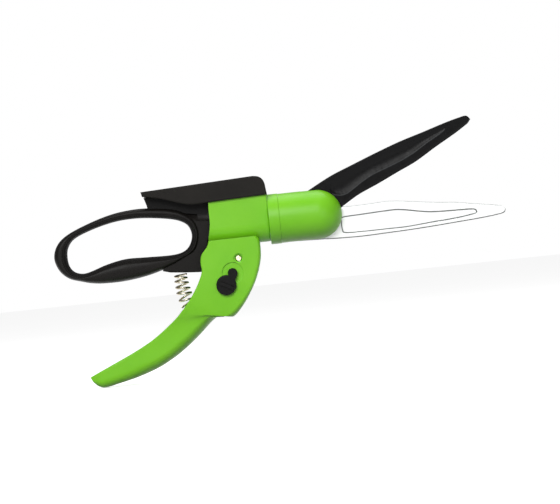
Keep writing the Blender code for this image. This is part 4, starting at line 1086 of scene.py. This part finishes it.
FLOOR_Z = -0.0004
FLOOR_REACH = 6.0
FLOOR_GLOW = 0.62
AIR_LIGHT = 0.34
LOW_AIR = 0.03
LIGHT_TARGET = (0.0, 0.0, 0.09)
LIGHTS = [
    ("key_light", (-0.45, -1.55, 0.95), 0.9, 24.0),
    ("fill_light", (0.75, -1.45, 0.30), 0.8, 3.4),
    ("top_light", (0.10, 0.35, 1.30), 1.0, 6.0),
]
VIEW_CENTRE = (-0.0015, 0.0, 0.0908)
VIEW_DISTANCE = 2.2
VIEW_WIDTH = 0.4368
VIEW_ROLL = math.radians(6.0)
SENSOR_WIDTH = 36.0


def make_floor(material):
    mesh = bpy.data.meshes.new("studio_floor")
    corners = [(-1, -1), (1, -1), (1, 1), (-1, 1)]
    mesh.from_pydata([(x * FLOOR_REACH, y * FLOOR_REACH, FLOOR_Z) for x, y in corners], [], [(0, 1, 2, 3)])
    mesh.materials.append(material)
    floor = bpy.data.objects.new("studio_floor", mesh)
    bpy.context.scene.collection.objects.link(floor)
    floor.visible_diffuse = False
    floor.visible_shadow = False


def make_air():
    """A white backdrop that lights the tool softly, and more from above than from below."""
    world = bpy.data.worlds.new("studio_air")
    bpy.context.scene.world = world
    world.use_nodes = True
    tree = world.node_tree
    background = tree.nodes["Background"]
    background.inputs["Color"].default_value = (1.0, 1.0, 1.0, 1.0)
    heading = tree.nodes.new("ShaderNodeTexCoord")
    parts = tree.nodes.new("ShaderNodeSeparateXYZ")
    sky = tree.nodes.new("ShaderNodeMapRange")
    sky.interpolation_type = "SMOOTHSTEP"
    for socket, value in (("From Min", -0.5), ("From Max", 0.4), ("To Min", LOW_AIR), ("To Max", AIR_LIGHT)):
        sky.inputs[socket].default_value = value
    path = tree.nodes.new("ShaderNodeLightPath")
    level = tree.nodes.new("ShaderNodeMapRange")
    level.inputs["To Max"].default_value = 1.0
    for out, into in (
        (heading.outputs["Generated"], parts.inputs["Vector"]),
        (parts.outputs["Z"], sky.inputs["Value"]),
        (path.outputs["Is Camera Ray"], level.inputs["Value"]),
        (sky.outputs["Result"], level.inputs["To Min"]),
        (level.outputs["Result"], background.inputs["Strength"]),
    ):
        tree.links.new(out, into)


def make_lights():
    for name, spot, size, power in LIGHTS:
        light = bpy.data.lights.new(name, "AREA")
        light.shape = "SQUARE"
        light.size = size
        light.energy = power
        lamp = bpy.data.objects.new(name, light)
        lamp.location = spot
        lamp.rotation_mode = "QUATERNION"
        lamp.rotation_quaternion = (Vector(LIGHT_TARGET) - Vector(spot)).to_track_quat("-Z", "Y")
        bpy.context.scene.collection.objects.link(lamp)


def make_camera():
    """Level with the tool and square to its side, rolled so that the barrel rises to the right."""
    data = bpy.data.cameras.new("camera")
    data.sensor_width = SENSOR_WIDTH
    data.lens = SENSOR_WIDTH * VIEW_DISTANCE / VIEW_WIDTH
    camera = bpy.data.objects.new("camera", data)
    right = Vector((math.cos(VIEW_ROLL), 0.0, -math.sin(VIEW_ROLL)))
    up = Vector((math.sin(VIEW_ROLL), 0.0, math.cos(VIEW_ROLL)))
    back = Vector((0.0, -1.0, 0.0))
    turn = Matrix((right, up, back)).transposed()
    camera.matrix_world = Matrix.Translation(Vector(VIEW_CENTRE) + back * VIEW_DISTANCE) @ turn.to_4x4()
    bpy.context.scene.collection.objects.link(camera)
    bpy.context.scene.camera = camera
    bpy.context.scene.view_settings.view_transform = "Standard"
    bpy.context.scene.view_settings.look = "None"


def finish_kept_nodes(finishes, usual):
    """Gives each CAD node that stays in view its finish."""
    for name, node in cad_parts.items():
        if not node.hide_render:
            node.data.materials.clear()
            node.data.materials.append(finishes.get(name, usual))


def main():
    green = green_plastic()
    black = black_plastic("black_moulding", (0.0078, 0.0068, 0.0060), 0.42, 1500.0, 0.06, web=WEB_HALF + 0.4)
    knob = black_plastic("catch_moulding", (0.0052, 0.0050, 0.0050), 0.34, 1500.0, 0.05, 0.0004)
    lining = black_plastic("soft_lining", (0.0060, 0.0053, 0.0048), 0.58, 2600.0, 0.12)
    hood = black_plastic("hood_moulding", (0.0104, 0.0092, 0.0077), 0.50, 2200.0, 0.14, 0.0008)
    coated, bright, nylon = coated_steel(), bright_steel(), pale_nylon()
    plated = plated_steel("zinc_plating", (0.56, 0.53, 0.42), (0.72, 0.69, 0.56), 0.30)
    gold = plated_steel("yellow_zinc", (0.80, 0.74, 0.45), (0.95, 0.90, 0.62), 0.30)
    wire = plated_steel("spring_wire", (0.42, 0.36, 0.26), (0.80, 0.73, 0.58), 0.22)
    make_camera()
    make_floor(floor_finish())
    make_air()
    make_lights()
    make_handle_frame(black)
    make_grip_liner(lining)
    make_barrel_shell(-1, "barrel_near", "barrel_shell_near", green)
    make_barrel_shell(1, "barrel_far", "barrel_shell_far", green)
    make_pin(gold)
    make_return_spring(wire)
    make_squeeze_lever(green)
    make_lock_knob(knob)
    make_head_shell(-1, "head_near", "head_shell_near", green)
    make_head_shell(1, "head_far", "head_shell_far", green)
    make_collar(green)
    make_moving_blade(coated)
    make_fixed_blade(bright)
    make_hood(hood)
    kept = {"release_spring": wire, "drive_slider": nylon, "drive_yoke": nylon, "swivel_spigot": nylon}
    finish_kept_nodes(kept, plated)


main()
